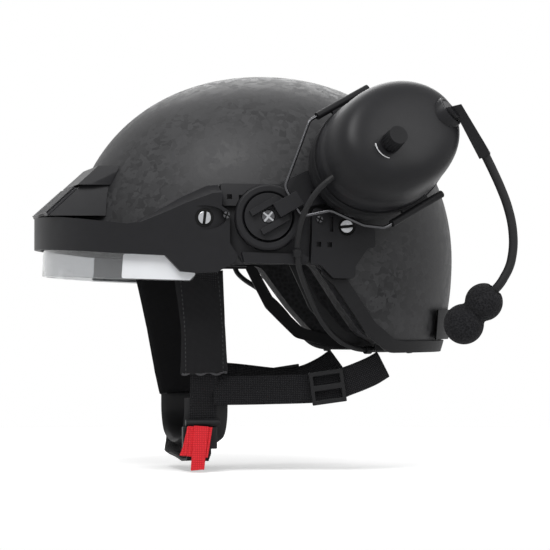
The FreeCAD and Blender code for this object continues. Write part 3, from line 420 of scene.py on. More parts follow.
def driven_head(name, middle, way, radius, slot, corners, turn, metals, body, nodes):
    """Screw head: segments parted by one slot or by a cross, over a floor that shows in it."""
    right = way.cross(Vector((math.sin(turn), 0, math.cos(turn)))).normalized()
    up = way.cross(right)

    def place(x, y, height):
        return middle + right * x + up * y + way * height

    half = slot / 2
    wide = math.asin(half / radius)
    if corners == 2:
        segment = arc_points(radius, wide - math.pi / 2, math.pi - 2 * wide, 18)
    else:
        segment = [(half, half)] + arc_points(radius, wide, math.pi / 2 - 2 * wide, 10)
    verts = []
    faces = []
    for corner in range(corners):
        swing = Matrix.Rotation(math.tau * corner / corners, 2)
        part, sides = prism([swing @ Vector(point) for point in segment], place, -head_depth, 0.0)
        faces += [tuple(index + len(verts) for index in face) for face in sides]
        verts += part
    heads = solid(name, verts, faces, metals[0], body, nodes, crease=30.0)
    bevelled(heads, 0.3 * millimetre)
    # The floor takes the second finish: in the rail bolts and screws it is painted shade, in the pivot screws a
    # painted highlight.
    floor = arc_points(floor_share * radius, 0.0, math.tau, 32)[:-1]
    verts, faces = prism(floor, place, floor_low, floor_top)
    solid(name + "_floor", verts, faces, metals[1], body, crease=30.0)


def other_side(point):
    """The same place on the other side of the helmet."""
    return Vector((point.x, -point.y, point.z))


def solid(name, verts, faces, material, body, nodes=(), mirror=False, crease=40.0,
          flat_map=None):
    """Piece made of points and faces, with a UV pair for each point if there is a flat map.

    It rides on a body and stands for its CAD nodes, where it has them.
    """
    if mirror:
        verts = [other_side(point) for point in verts]
    mesh = bpy.data.meshes.new(name)
    mesh.from_pydata([tuple(point) for point in verts], [], faces)
    if flat_map:
        layer = mesh.uv_layers.new(name="flat")
        for loop in mesh.loops:
            layer.data[loop.index].uv = flat_map[loop.vertex_index]
    with edited(mesh) as work:
        bmesh.ops.remove_doubles(work, verts=work.verts, dist=point_gap)
        bmesh.ops.recalc_face_normals(work, faces=work.faces)
    dressed(mesh, material, crease)
    piece = placed(name, mesh)
    if nodes:
        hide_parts(*nodes)
    if body:
        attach(piece, body)
    return piece


bright_steel = turned_steel("bright_steel", (0.52, 0.53, 0.55), 0.24)
dark_steel = turned_steel("dark_steel", (0.10, 0.10, 0.105), 0.34)
# Near-black plastic for the bolt wells and the slot floors: painted shade in the recesses.
painted_shade_black = grained_plastic("painted_shade_black", (0.002, 0.002, 0.002), (0.004, 0.004, 0.004), 0.6)
for number, (middle, way, radius) in enumerate(fasteners("rail_bolts")):
    turn = 0.12 if middle.x < 0 else math.pi / 2 - 0.1
    driven_head("rail_bolt_" + str(number + 1), middle, way, radius, bolt_slot, 2, turn,
                (bright_steel, painted_shade_black), "helmet", ("rail_bolts",))
    verts = [middle + (Vector((x, 0, z)) + way * level) * millimetre
             for outward, level in well_shade_ring for x, z in arc_points(outward, 0.0, math.tau, 40)[:-1]]
    solid("bolt_well_" + str(number + 1), verts, hoops(4, 40, closed=True), painted_shade_black, "helmet")
for number, (middle, way, radius) in enumerate(fasteners("rail_screws")):
    driven_head("rail_screw_" + str(number + 1), middle, way, radius, screw_slot, 4, 0.4,
                (dark_steel, painted_shade_black), "helmet", ("rail_screws",))


# Swivels. A round seat bolted to each rail with a turning rotor on a cross-head screw. Two bars
# on the rotor grip the arm block between them.
pivot_radius = 4.6 * millimetre
pivot_slot = 1.5 * millimetre
for side in ("left", "right"):
    moulding(side + "_swivel_base", peak_plastic, 0.0006, 30.0)
    moulding(side + "_swivel_rotor", rail_plastic, 0.0005)
    joint = [hinge for hinge in frame["joints"] if hinge["name"] == side + "_arm_swivel"][0]
    way = Vector(joint["axis"]).normalized()
    way = way if way.y * (1 if side == "right" else -1) > 0 else -way
    points = [vertex.co for vertex in frame["nodes"][side + "_swivel_screw"].data.vertices]
    centre = Vector(joint["pos_m"])
    top = max((point - centre).dot(way) for point in points)
    # The bright steel floor of the cross, under a dark steel head, is a painted highlight in the recess.
    driven_head(side + "_pivot_screw", centre + way * top, way, pivot_radius, pivot_slot, 4, 0.7,
                (dark_steel, bright_steel), side + "_swivel", (side + "_swivel_screw",))
    moulding(side + "_arm_block", peak_plastic, 0.0007)


# Wire forks. Blackened spring steel wire bent in one piece, through the arm block and into the
# two sleeves of the ear cup.
wire_steel = turned_steel("wire_steel", (0.085, 0.085, 0.09), 0.24, 0.06)
for side in ("left", "right"):
    moulding(side + "_wire_fork", wire_steel, 0.0, 40.0)


# Ear cups. Deep oval shells in satin black with a raised skirt at the rim, on a flat plate
# with a wire sleeve above and below.
cup_seat = Vector((79.7, -119.6, -25.2)) * millimetre
cup_out = Vector((0.20, -0.905, 0.365)).normalized()
cup_long = Vector((0.823, 0.363, 0.442))
cup_long = (cup_long - cup_out * cup_out.dot(cup_long)).normalized()
cup_up = cup_out.cross(cup_long)
cup_reach = 53.5 * millimetre
cup_side = 41.5 * millimetre
cup_depth = 45.0 * millimetre
cup_pull = 0.96
skirt_top = 12.0 * millimetre
skirt_step = 0.8 * millimetre
skirt_rise = 1.2 * millimetre


def on_cup(along, across, height):
    """Place on the left cup, from its long axis, its short axis and its height above the seat."""
    return cup_seat + cup_long * along + cup_up * across + cup_out * height


def cup_profile(steps=40):
    """Rows of the dome from its crown to its rim, as (share of the reach, height) pairs."""
    rows = []
    for t in (i / steps for i in range(steps + 1)):
        s = 1 - t
        share = 3 * s * s * t * cup_pull + 3 * s * t * t + t ** 3
        height = cup_depth * (s ** 3 + 3 * s * s * t + 3 * s * t * t * cup_pull)
        rows.append((share, height))
    return rows


def ear_cup(side):
    """Hollow dome: outer rows from the crown down, with the skirt, then inner rows back up."""
    steps = 96
    rows = cup_profile()
    wall = 2.6 * millimetre
    tip = 0.0004
    levels = [(tip, cup_depth, 0.0)]
    for share, height in rows[1:]:
        grow = 0.0
        if height < skirt_top:
            grow = skirt_step * min(1.0, (skirt_top - height) / skirt_rise)
        levels.append((share, height, grow))
    for share, height in reversed(rows):
        levels.append((max(share, tip), max(height - wall, 0.0), -wall * min(1.0, share * 1.6)))
    verts = []
    for share, height, grow in levels:
        for angle in (math.tau * i / steps for i in range(steps)):
            verts.append(on_cup((cup_reach * share + grow) * math.cos(angle),
                                (cup_side * share + grow) * math.sin(angle), height))
    faces = hoops(len(levels), steps) + lids(len(levels), steps)
    solid(side + "_cup_dome", verts, faces, cup_plastic, side + "_cup",
          (side + "_cup_shell",), mirror=side == "right", crease=50.0)


cup_plastic = grained_plastic("cup_plastic", (0.007, 0.007, 0.008), (0.015, 0.015, 0.017), 0.34, 1700.0)
sleeve_plastic = grained_plastic("sleeve_plastic", (0.004, 0.004, 0.005), (0.010, 0.010, 0.011), 0.5)
for side in ("left", "right"):
    ear_cup(side)
    moulding(side + "_cup_plate", sleeve_plastic, 0.0008, 30.0)
    moulding(side + "_speaker", lining, 0.0005)


# Ear cushions. Foam rings in soft artificial leather, sewn round the outer edge, with fine
# folds drawn in towards the opening.
def soft_leather():
    finish = Finish("soft_leather", IOR=1.45, Specular_IOR_Level=0.28)
    pores = finish.cells(1100.0)
    creases = finish.noise(60.0, 5.0)
    colour = finish.blend(creases, (0.004, 0.004, 0.005), (0.010, 0.010, 0.011))
    return finish.surface(Base_Color=colour, Roughness=0.38 + creases * 0.2,
                          Normal=finish.bumped(pores * 0.5 + creases * 0.5, 0.3, 0.0008))


def ear_cushion(side):
    rng = random.Random(7)
    folds = [(rng.randint(9, 26), rng.uniform(0, 6.28), rng.uniform(0.1, 0.22)) for _ in range(6)]
    round_steps = 160
    section_steps = 36
    squareness = 0.72
    middle = 44.0 * millimetre
    half_width = 10.3 * millimetre
    half_height = 6.2 * millimetre
    seat = -11.45 * millimetre
    seam_rise = 1.6 * millimetre
    seam_half = 0.5 * millimetre
    seam_depth = 0.7 * millimetre
    squeeze = cup_side / cup_reach * 1.01
    verts = []
    for i in range(round_steps):
        angle = math.tau * i / round_steps
        fold = sum(size * math.sin(count * angle + start) for count, start, size in folds) * millimetre
        for k in range(section_steps):
            turn = math.tau * k / section_steps
            c = math.cos(turn)
            s = math.sin(turn)
            out = math.copysign(abs(c) ** squareness, c) * half_width
            rise = math.copysign(abs(s) ** squareness, s) * half_height
            out += fold * (0.35 + max(0.0, -c) ** 2)
            seam = math.exp(-((rise - seam_rise) / seam_half) ** 2) * max(0.0, c)
            radius = middle + out - seam * seam_depth
            verts.append(on_cup(radius * math.cos(angle), radius * squeeze * math.sin(angle),
                                seat + rise))
    faces = hoops(round_steps, section_steps, closed=True)
    piece = solid(side + "_cushion_ring", verts, faces, leather, side + "_cup",
                  (side + "_ear_cushion",), mirror=side == "right", crease=180.0)


leather = soft_leather()
for side in ("left", "right"):
    ear_cushion(side)


# Volume knob. Fluted knob on the crown of the left cup, with a plain moulded arc beside it.
moulding("volume_knob", sleeve_plastic, 0.0002, 30.0)


def cup_height(share):
    """Height of the cup's dome at a share of its reach."""
    rows = cup_profile()
    for (near, high), (far, low) in zip(rows, rows[1:]):
        if near <= share <= far:
            return high + (low - high) * (share - near) / (far - near)
    return 0.0


def volume_arc():
    """Band that follows the dome round the knob and tapers to its end, like a volume scale."""
    steps = 22
    centre = (-19.5 * millimetre, -4.0 * millimetre)
    radius = 11.2 * millimetre
    verts = []
    for i in range(steps + 1):
        angle = math.radians(152 + 78 * i / steps)
        half = (0.45 - 0.25 * i / steps) * millimetre
        corners = []
        for reach in (radius - half, radius + half):
            along = centre[0] + reach * math.cos(angle)
            across = centre[1] + reach * math.sin(angle)
            height = cup_height(math.hypot(along / cup_reach, across / cup_side))
            corners.append([on_cup(along, across, height + rise * millimetre) for rise in (0.12, -0.3)])
        verts += corners[0] + corners[1][::-1]
    solid("volume_arc", verts, hoops(steps + 1, 4) + lids(steps + 1, 4), pale_mark, "left_cup",
          crease=1.0)


def pale_plastic():
    finish = Finish("pale_plastic", IOR=1.46)
    haze = finish.noise(400.0, 2.0)
    colour = finish.blend(haze, (0.62, 0.63, 0.64), (0.74, 0.75, 0.76))
    return finish.surface(Base_Color=colour, Roughness=0.4 + haze * 0.1)


pale_mark = pale_plastic()
volume_arc()


# Boom. A square elbow on a round seat carries a bendable stem in smooth rubber, down to the
# microphone and its two-lobed foam windscreen.
boom_seat = on_cup(38.5 * millimetre, -5.0 * millimetre, 41.3 * millimetre)
boom_axis = (cup_long * 0.62 + cup_out * 0.78).normalized()
boom_cross = boom_axis.cross(Vector((0, 0, 1))).normalized()
boom_lift = boom_axis.cross(boom_cross)


def on_boom(x, y, height):
    return boom_seat + boom_cross * x + boom_lift * y + boom_axis * height


def boom_disc():
    """Round seat of the boom on the cup, with a groove in its face."""
    steps = 48
    profile = ((0.02, -7.0), (10.6, -7.0), (11.5, -6.0), (11.5, 1.8), (10.9, 2.6), (9.6, 2.6),
               (9.4, 2.0), (8.6, 2.0), (8.4, 2.6), (4.0, 2.6), (0.02, 2.6))
    verts = [on_boom(x * millimetre, y * millimetre, height * millimetre)
             for radius, height in profile for x, y in arc_points(radius, 0.0, math.tau, steps)[:-1]]
    faces = hoops(len(profile), steps) + lids(len(profile), steps)
    solid("boom_disc", verts, faces, cup_plastic, "left_cup")


def smooth_rubber():
    finish = Finish("smooth_rubber", IOR=1.45, Specular_IOR_Level=0.35)
    bloom = finish.noise(90.0, 4.0)
    colour = finish.blend(bloom, (0.005, 0.005, 0.006), (0.013, 0.013, 0.014))
    return finish.surface(Base_Color=colour, Roughness=0.5 + bloom * 0.18,
                          Normal=finish.bumped(finish.noise(800.0, 2.0), 0.1, 0.0003))


def open_foam():
    finish = Finish("open_foam", IOR=1.35, Specular_IOR_Level=0.1,
                    Sheen_Weight=0.03, Sheen_Roughness=0.6)
    pores = finish.cells(700.0)
    grain = finish.noise(420.0, 4.0)
    colour = finish.blend(pores, (0.006, 0.006, 0.007), (0.026, 0.026, 0.028))
    return finish.surface(Base_Color=colour, Roughness=0.95,
                          Normal=finish.bumped(pores * 0.6 + grain * 0.4, 0.8, 0.0012))


def sight(across, down):
    """Line of sight from the camera through a place on the picture, in pixels."""
    right, up, back = camera_axes
    return (right * (across - picture_middle) + up * (picture_middle - down)) / picture_focus - back


def trimmed(piece, *cuts):
    """Piece with all that stands above each line of the picture cut away, seen from the camera."""
    with edited(piece.data) as work:
        for start, end in cuts:
            normal = sight(*start).cross(sight(*end)).normalized()
            everything = work.verts[:] + work.edges[:] + work.faces[:]
            found = bmesh.ops.bisect_plane(work, geom=everything, plane_co=camera_place,
                                           plane_no=normal, clear_inner=True)
            rim = [part for part in found["geom_cut"] if isinstance(part, bmesh.types.BMEdge)]
            bmesh.ops.holes_fill(work, edges=rim)
        bmesh.ops.recalc_face_normals(work, faces=work.faces)
    dressed(piece.data, piece.data.materials[0], 34.0)


picture_middle = 275.0
picture_focus = 2666.7
camera_place = Vector((-0.3651, -1.9611, -0.1345))
camera_axes = [Vector((0.9806, -0.1960, 0.0)), Vector((-0.0024, -0.0120, 0.9999))]
camera_axes.append(camera_axes[0].cross(camera_axes[1]))
boom_disc()
rubber = smooth_rubber()
elbow = (461.3, 104.0)
trimmed(moulding("boom_block", cup_plastic, 0.0006), ((446.0, 107.6), elbow), (elbow, (490.0, 151.8)))
moulding("boom_arm", rubber, 0.0, 50.0)
moulding("mic_body", inner_plastic, 0.0005)
stuffed("mic_muff", open_foam(), 0.0011, 5)


# Lead. A round rubber lead leaves each cup by a hole in its skirt, hangs to a clip under the
# rail and runs round the nape to the other cup.
lead_radius = 2.0 * millimetre
link_route = ((52.2, -145.2, -35.3), (39.2, -150.9, -42.3), (27.0, -147.0, -53.0),
              (20.4, -140.0, -66.0), (17.6, -131.6, -79.0), (17.5, -125.2, -91.9))
nape_route = ((17.6, -124.8, -92.9), (18.4, -124.2, -103.8), (24.0, -114.6, -115.0),
              (32.0, -104.0, -128.6), (42.0, -93.0, -144.6), (55.5, -83.0, -157.6),
              (72.0, -73.6, -165.0), (92.0, -63.4, -165.2), (113.0, -48.8, -165.2),
              (128.6, -28.2, -165.2), (134.6, -8.0, -165.2))


def lead_points(route, name):
    """Points along the smooth line of a lead, in metres. The CAD has the same route."""
    curve = bpy.data.curves.new(name, "CURVE")
    curve.dimensions = "3D"
    curve.resolution_u = 10
    spline = curve.splines.new("NURBS")
    spline.points.add(len(route) - 1)
    for point, place in zip(spline.points, route):
        point.co = (*(part * millimetre for part in place), 1)
    spline.order_u = 3
    spline.use_endpoint_u = True
    return [vertex.co.copy() for vertex in settled(placed(name, curve)).vertices]


def heading_at(points, i):
    """Direction of a line at one of its points."""
    return (points[min(i + 1, len(points) - 1)] - points[max(i - 1, 0)]).normalized()


def lead_tube(points, radius, steps=14):
    """Points and faces of a round lead along a line."""
    verts = []
    side = Vector((0.3, 0.2, 0.93))
    for i, point in enumerate(points):
        heading = heading_at(points, i)
        side = (side - heading * heading.dot(side)).normalized()
        up = heading.cross(side)
        verts += [point + side * x + up * y for x, y in arc_points(radius, 0.0, math.tau, steps)[:-1]]
    return verts, hoops(len(points), steps) + lids(len(points), steps)


def ear_lead(side):
    points = lead_points(link_route, "lead_line")
    mirror = side == "right"
    total = len(points) - 1
    cuts = [round(total * share) for share in (0, 0.25, 0.45, 1)]
    for number in range(3):
        part = points[cuts[number]:cuts[number + 1] + 1]
        verts, faces = lead_tube(part, lead_radius)
        piece = solid(side + "_lead_part_" + str(number + 1), verts, faces, rubber, None,
                      (side + "_lead_link",), mirror=mirror)
        start = other_side(part[0]) if mirror else part[0]
        end = other_side(part[-1]) if mirror else part[-1]
        tuple(start)
        tuple(end)
        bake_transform(piece)


for side in ("left", "right"):
    ear_lead(side)
far_route = tuple((x, -y, z) for x, y, z in reversed(nape_route[6:]))
far_rise = ((61.0, 86.0, -150.0), (50.0, 98.0, -133.0), (36.0, 107.0, -120.0), (24.0, 115.6, -112.0),
            (18.4, 124.2, -103.8), (17.6, 124.8, -92.9))
verts, faces = lead_tube(lead_points(nape_route + far_route + far_rise, "nape_line"), lead_radius)
solid("nape_lead", verts, faces, rubber, "helmet", ("headset_lead",))
moulding("lead_clips", inner_plastic, 0.0003)


# Webbing. Flat woven nylon straps from the anchors to the buckle and from the chin to the nape,
# in a coarse plain weave that shows as rows of small dots.
def woven_webbing(name, dark, light):
    finish = Finish(name, IOR=1.45, Specular_IOR_Level=0.2, Sheen_Weight=0.06, Sheen_Roughness=0.4)
    flat = finish.place("UV")
    rib = finish.wave(240.0, flat, "Y")
    warp = finish.wave(240.0, flat, "X")
    weave = rib * warp
    colour = finish.blend(weave, dark, light)
    return finish.surface(Base_Color=colour, Roughness=0.86 - weave * 0.15,
                          Normal=finish.bumped(weave, 0.7, 0.0007))


def soft_line(points, steps=8):
    """Smooth line through given places."""
    places = [Vector(point) * millimetre for point in points]
    line = []
    for i in range(len(places) - 1):
        near = [places[min(max(k, 0), len(places) - 1)] for k in range(i - 1, i + 3)]
        before, start, end, after = near
        for t in (k / steps for k in range(steps)):
            line.append(0.5 * (2 * start + (end - before) * t
                               + (2 * before - 5 * start + 4 * end - after) * t * t
                               + (3 * start - before - 3 * end + after) * t ** 3))
    line.append(places[-1])
    return line


def width_at(widths, share):
    """Width at a share of the length, between the widths that are given at equal steps."""
    if len(widths) == 1:
        return widths[0] * millimetre
    place = share * (len(widths) - 1)
    near = min(int(place), len(widths) - 2)
    return (widths[near] + (widths[near + 1] - widths[near]) * (place - near)) * millimetre


def strap(name, points, widths, wall, material, nodes, across=(1, 0, 0), crown=0.0, steps=8):
    """Band along a line, its edges rounded and its faces crowned, with its length and width as UV."""
    line = soft_line(points, steps)
    lanes = 14
    across = Vector(across)
    blunt = 2.5 if crown else 12
    verts = []
    flat = []
    run = 0.0
    for i, point in enumerate(line):
        heading = heading_at(line, i)
        wide = (across - heading * heading.dot(across)).normalized()
        thick = heading.cross(wide)
        if i:
            run += (point - line[i - 1]).length
        width = width_at(widths, i / (len(line) - 1))
        ends = min(1.0, (min(i, len(line) - 1 - i) + 0.6) / 2.2)
        swell = wall * millimetre / 2 * (1 - crown * (1 - ends))
        for k in range(2 * lanes):
            face = 1 if k < lanes else -1
            lane = face * (2 * k / lanes - 1 if k < lanes else 2 * k / lanes - 3)
            edge = (1 - abs(lane) ** blunt) ** 0.5
            verts.append(point + wide * (lane * width / 2) + thick * (face * edge * swell))
            flat.append((lane * width / 2, run))
    faces = hoops(len(line), 2 * lanes) + lids(len(line), 2 * lanes)
    return solid(name, verts, faces, material, "helmet", nodes, crease=50.0, flat_map=flat)


webbing = woven_webbing("black_webbing", (0.004, 0.004, 0.005), (0.030, 0.030, 0.032))
front_line = ((-43.0, -88.2, -106.3), (-42.2, -85.0, -113.0), (-40.6, -78.5, -140.0),
              (-39.2, -71.0, -165.0), (-38.2, -64.0, -186.0), (-37.6, -58.6, -203.0), (-38.0, -57.2, -220.2))
far_front_line = ((-45.5, 88.2, -106.3), (-44.8, 85.0, -113.0), (-42.2, 78.5, -140.0), (-39.6, 71.0, -165.0),
                  (-37.2, 64.0, -186.0), (-35.6, 58.6, -203.0), (-35.4, 57.2, -218.0), (-36.4, 55.4, -225.0),
                  (-38.4, 46.0, -234.4), (-42.4, 30.0, -240.2), (-46.0, 10.0, -241.4), (-47.2, -8.0, -241.6))
rear_line = ((-30.4, -61.7, -194.5), (8.0, -67.0, -194.0), (49.3, -72.6, -192.4),
             (66.0, -75.4, -187.4), (82.0, -76.6, -181.0), (92.0, -75.0, -175.6))
far_rear_line = ((-20.3, 65.3, -186.3), (8.0, 68.5, -188.0), (49.3, 72.6, -192.4),
                 (66.0, 75.4, -189.6), (82.0, 76.6, -182.6), (92.0, 75.0, -175.6))
tongue_widths = (20.0,) * 9 + (19.0, 18.0, 17.0)
for place, line, widths, across in (("left_front", front_line, (20.0,), (1, 0, 0)),
                                    ("right_front", far_front_line, tongue_widths, (1, 0, 0)),
                                    ("left_rear", rear_line, (21.0,), (0, 0, 1)),
                                    ("right_rear", far_rear_line, (21.0,), (0, 0, 1))):
    strap(place + "_webbing", line, widths, 2.0, webbing, (place + "_strap",), across=across)


# Strap covers. Padded sleeves of lining fabric round the front straps, with a row of stitches near
# both long edges and, on the near one, a wavy binding at the foot.
near_cover_line = ((-45.5, -82.8, -110.0), (-43.5, -80.2, -126.0), (-41.0, -76.3, -148.0),
                   (-39.6, -71.6, -166.0), (-38.6, -66.6, -181.5))
near_cover_widths = (36.0, 34.0, 32.0, 33.0, 35.0)
far_cover_line = ((-48.2, 82.8, -110.0), (-45.8, 80.2, -126.0), (-42.6, 76.3, -148.0),
                  (-40.0, 71.6, -166.0), (-37.8, 66.2, -182.5), (-36.2, 61.0, -199.3))
far_cover_widths = (37.0, 35.0, 33.0, 33.0, 33.0, 30.0)


def padded_cloth():
    finish = Finish("padded_cloth", IOR=1.4, Specular_IOR_Level=0.15,
                    Sheen_Weight=0.05, Sheen_Roughness=0.45)
    flat = finish.place("UV")
    weave = finish.wave(380.0, flat, "X") * finish.wave(380.0, flat, "Y")
    soil = finish.noise(40.0, 4.0)
    colour = finish.blend(weave * 0.7 + soil * 0.3, (0.009, 0.009, 0.010), (0.030, 0.030, 0.032))
    return finish.surface(Base_Color=colour, Roughness=0.9 - weave * 0.12,
                          Normal=finish.bumped(weave, 0.6, 0.0008))


def stitched(name, points, material, body):
    """Row of short stitches along a line."""
    line = bpy.data.curves.new(name + "_line", "CURVE")
    line.dimensions = "3D"
    spline = line.splines.new("POLY")
    spline.points.add(len(points) - 1)
    for place, point in zip(spline.points, points):
        place.co = (*point, 1)
    carrier = placed(name + "_line", line)
    tree = bpy.data.node_groups.new("stitch row", "GeometryNodeTree")
    tree.interface.new_socket("Geometry", in_out="INPUT", socket_type="NodeSocketGeometry")
    pitch = tree.interface.new_socket("Pitch", in_out="INPUT", socket_type="NodeSocketFloat")
    size = tree.interface.new_socket("Thread radius", in_out="INPUT", socket_type="NodeSocketFloat")
    tree.interface.new_socket("Geometry", in_out="OUTPUT", socket_type="NodeSocketGeometry")
    add = tree.nodes.new
    entry = add("NodeGroupInput")
    leave = add("NodeGroupOutput")
    sample = add("GeometryNodeResampleCurve")
    sample.mode = "LENGTH"
    thread_ball = add("GeometryNodeMeshUVSphere")
    thread_ball.inputs["Segments"].default_value = 6
    thread_ball.inputs["Rings"].default_value = 4
    stretch = add("GeometryNodeTransform")
    stretch.inputs["Scale"].default_value = (1.0, 1.0, 3.4)
    tangent = add("GeometryNodeInputTangent")
    align = add("FunctionNodeAlignRotationToVector")
    align.axis = "Z"
    place = add("GeometryNodeInstanceOnPoints")
    real = add("GeometryNodeRealizeInstances")
    paint = add("GeometryNodeSetMaterial")
    paint.inputs["Material"].default_value = material
    for start, output, end, entrance in (
            (entry, "Geometry", sample, "Curve"), (entry, "Pitch", sample, "Length"),
            (entry, "Thread radius", thread_ball, "Radius"), (thread_ball, "Mesh", stretch, "Geometry"),
            (tangent, "Tangent", align, "Vector"), (sample, "Curve", place, "Points"),
            (stretch, "Geometry", place, "Instance"), (align, "Rotation", place, "Rotation"),
            (place, "Instances", real, "Geometry"), (real, "Geometry", paint, "Geometry"),
            (paint, "Geometry", leave, "Geometry")):
        tree.links.new(start.outputs[output], end.inputs[entrance])
    sewing = carrier.modifiers.new("sewing", "NODES")
    sewing.node_group = tree
    sewing[pitch.identifier] = 3.2 * millimetre
    sewing[size.identifier] = 0.32 * millimetre
    piece = placed(name, settled(carrier))
    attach(piece, body)


def plain_thread():
    finish = Finish("black_thread", IOR=1.5)
    twist = finish.noise(900.0, 2.0)
    colour = finish.blend(twist, (0.02, 0.02, 0.022), (0.06, 0.06, 0.064))
    return finish.surface(Base_Color=colour, Roughness=0.7 + twist * 0.1)


cover_cloth = padded_cloth()
thread = plain_thread()
stitch_inset = 13.6 * millimetre
stitch_rise = 2.2 * millimetre
for side, cover_line, cover_widths, outer in (("left", near_cover_line, near_cover_widths, -1),
                                              ("right", far_cover_line, far_cover_widths, 1)):
    cover = strap(side + "_cover", cover_line, cover_widths, 7.0, cover_cloth,
                  (side + "_strap_cover",), crown=0.5, steps=10)
    line = soft_line(cover_line, 10)[1:-1]
    for lane in (-1, 1):
        row = []
        for i, point in enumerate(line):
            heading = heading_at(line, i)
            wide = (Vector((1, 0, 0)) - heading * heading.x).normalized()
            out = wide.cross(heading)
            if out.y * outer < 0:
                out = -out
            row.append(point + wide * lane * stitch_inset + out * stitch_rise)
        stitched(side + "_cover_stitches_" + ("rear" if lane > 0 else "front"), row, thread, "helmet")
foot = Vector((-38.6, -69.0, -181.8))
binding = [(foot + Vector((16.4 * share, 1.4 * share ** 2, 0.9 * math.sin(9 * share)))) * millimetre
           for share in (k / 16 - 1 for k in range(33))]
verts, faces = lead_tube(binding, 0.9 * millimetre, 10)
solid("left_cover_binding", verts, faces, thread, "helmet")


# Sliders and anchors. Moulded ladder sliders on the rear straps, and the tabs that hold the
# strap ends under the liner.
moulding("strap_sliders", inner_plastic, 0.0006)
moulding("strap_anchors", inner_plastic, 0.0004)


# Chin pad. Soft rubber-faced pad that wraps under the chin between the two front straps.
pad_line = ((-35.0, -54.2, -200.0), (-35.0, -52.6, -215.0), (-35.0, -41.0, -227.6),
            (-35.0, -18.0, -233.0), (-35.0, 0.0, -233.8))
pad_route = pad_line + tuple((x, -y, z) for x, y, z in reversed(pad_line[:-1]))
pad = strap("chin_cushion", pad_route, (32.0,), 6.0, rubber, ("chin_pad",), crown=0.4)


# Buckle. A moulded receiver at the end of the left strap takes the toothed tongue of the other.
# A lever on it carries the red pull tab: folded flanks under a woven strip with a loose end.
moulding("buckle_receiver", inner_plastic, 0.0008)
moulding("buckle_tongue", inner_plastic, 0.0004)
moulding("release_lever", inner_plastic, 0.0005)


def red_band():
    finish = Finish("red_band", IOR=1.45, Specular_IOR_Level=0.25)
    where = finish.place()
    rib = finish.wave(240.0, where, "Z")
    cross = finish.wave(240.0, where, "X")
    weave = rib * cross
    colour = finish.blend(weave, (0.52, 0.012, 0.020), (0.98, 0.042, 0.055))
    return finish.surface(Base_Color=colour, Roughness=0.62 - weave * 0.12,
                          Normal=finish.bumped(weave, 0.4, 0.0005))


def tab_piece(name, outline, front, back, material, nodes=()):
    """Flat piece of the pull tab from its outline as (x, z) pairs, between two depths."""
    verts, faces = prism(outline, lambda x, z, y: Vector((x, y, z)) * millimetre, front, back)
    piece = solid(name, verts, faces, material, "lever", nodes, crease=30.0)
    bevelled(piece, 0.35 * millimetre)


red = red_band()
flanks = ((-50.2, -219.8), (-32.0, -220.8), (-33.6, -230.0), (-35.4, -242.8), (-40.0, -242.4),
          (-56.2, -241.0), (-53.8, -235.0))
strip = ((-45.8, -219.4), (-35.0, -220.2), (-38.2, -251.2), (-48.1, -251.9))
front_fold = ((-50.0, -220.2), (-48.8, -220.2), (-51.0, -240.8), (-53.4, -240.6))
rear_fold = ((-33.8, -220.6), (-32.2, -220.8), (-35.5, -242.4), (-37.4, -242.4))
tab_piece("pull_tab_flanks", flanks, -65.3, -64.2, red, ("pull_tab",))
tab_piece("pull_tab_strip", strip, -66.3, -64.9, red)
tab_piece("pull_tab_fold_1", front_fold, -66.0, -65.0, red)
tab_piece("pull_tab_fold_2", rear_fold, -66.0, -65.0, red)


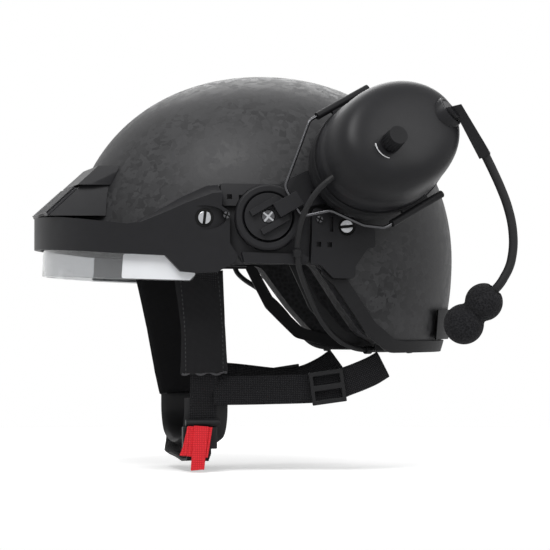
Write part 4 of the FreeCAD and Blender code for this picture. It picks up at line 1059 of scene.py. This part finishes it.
# Studio. Pale floor under the helmet, white behind it, and broad soft lamps.
def studio_world():
    """White world for what is seen through, mirrored or behind, and a dimmer one for what it lights."""
    world = bpy.data.worlds.new("studio")
    bpy.context.scene.world = world
    world.use_nodes = True
    nodes = world.node_tree.nodes
    links = world.node_tree.links
    background = nodes["Background"]
    rays = nodes.new("ShaderNodeLightPath")
    white = rays.outputs["Is Camera Ray"]
    for kind in ("Is Transmission Ray", "Is Glossy Ray"):
        either = nodes.new("ShaderNodeMath")
        either.operation = "MAXIMUM"
        links.new(white, either.inputs[0])
        links.new(rays.outputs[kind], either.inputs[1])
        white = either.outputs[0]
    level = nodes.new("ShaderNodeMapRange")
    level.inputs["To Min"].default_value = 0.4
    level.inputs["To Max"].default_value = 1.0
    links.new(white, level.inputs["Value"])
    links.new(level.outputs[0], background.inputs["Strength"])
    background.inputs["Color"].default_value = (1, 1, 1, 1)


def studio_floor():
    """Pale floor that keeps the shadow and fades out before its horizon."""
    finish = Finish("studio_floor")
    shine = finish.node("ShaderNodeLightPath", {}) * 0.4
    reach = finish.node("ShaderNodeVectorMath", {"operation": "LENGTH"}, finish.place(), out=1)
    fade = finish.node("ShaderNodeMapRange", {"interpolation_type": "SMOOTHSTEP"}, named={
        "Value": reach, "From Min": 0.42, "From Max": 0.75, "To Min": 1.0, "To Max": 0.0})
    colour = finish.blend(finish.noise(3.0), (0.84, 0.84, 0.84), (0.87, 0.87, 0.87))
    finish.surface(Base_Color=colour, Roughness=0.9, Alpha=fade, Emission_Color=(1, 1, 1, 1))
    finish.tree.links.new(shine.socket, finish.shader.inputs["Emission Strength"])
    level = -253.5 * millimetre
    half = 6.0
    mesh = bpy.data.meshes.new("floor")
    corners = ((-half, -half), (half, -half), (half, half), (-half, half))
    mesh.from_pydata([(*corner, level) for corner in corners], [], [(0, 1, 2, 3)])
    mesh.materials.append(finish.material)
    placed("floor", mesh)


def lamp(name, place, size, watts):
    light = bpy.data.lights.new(name, "AREA")
    light.energy = watts
    light.size = size
    holder = placed(name, light)
    holder.location = place
    aim = lamp_target - Vector(place)
    holder.rotation_euler = aim.to_track_quat("-Z", "Y").to_euler()


def photo_camera():
    data = bpy.data.cameras.new("camera")
    data.sensor_width = 36.0
    data.lens = 174.55
    camera = placed("camera", data)
    turn = Matrix(camera_axes).transposed().to_4x4()
    camera.matrix_world = Matrix.Translation(camera_place) @ turn
    bpy.context.scene.camera = camera


lamp_target = Vector((0.02, 0.0, -0.1))
studio_world()
studio_floor()
lamp("key", (-0.7, -1.2, 1.7), 1.0, 34.0)
lamp("fill", (1.15, -1.3, 1.15), 0.8, 10.0)
lamp("back", (0.4, 1.5, 1.2), 1.4, 18.0)
photo_camera()
bpy.context.scene.view_settings.view_transform = "Standard"
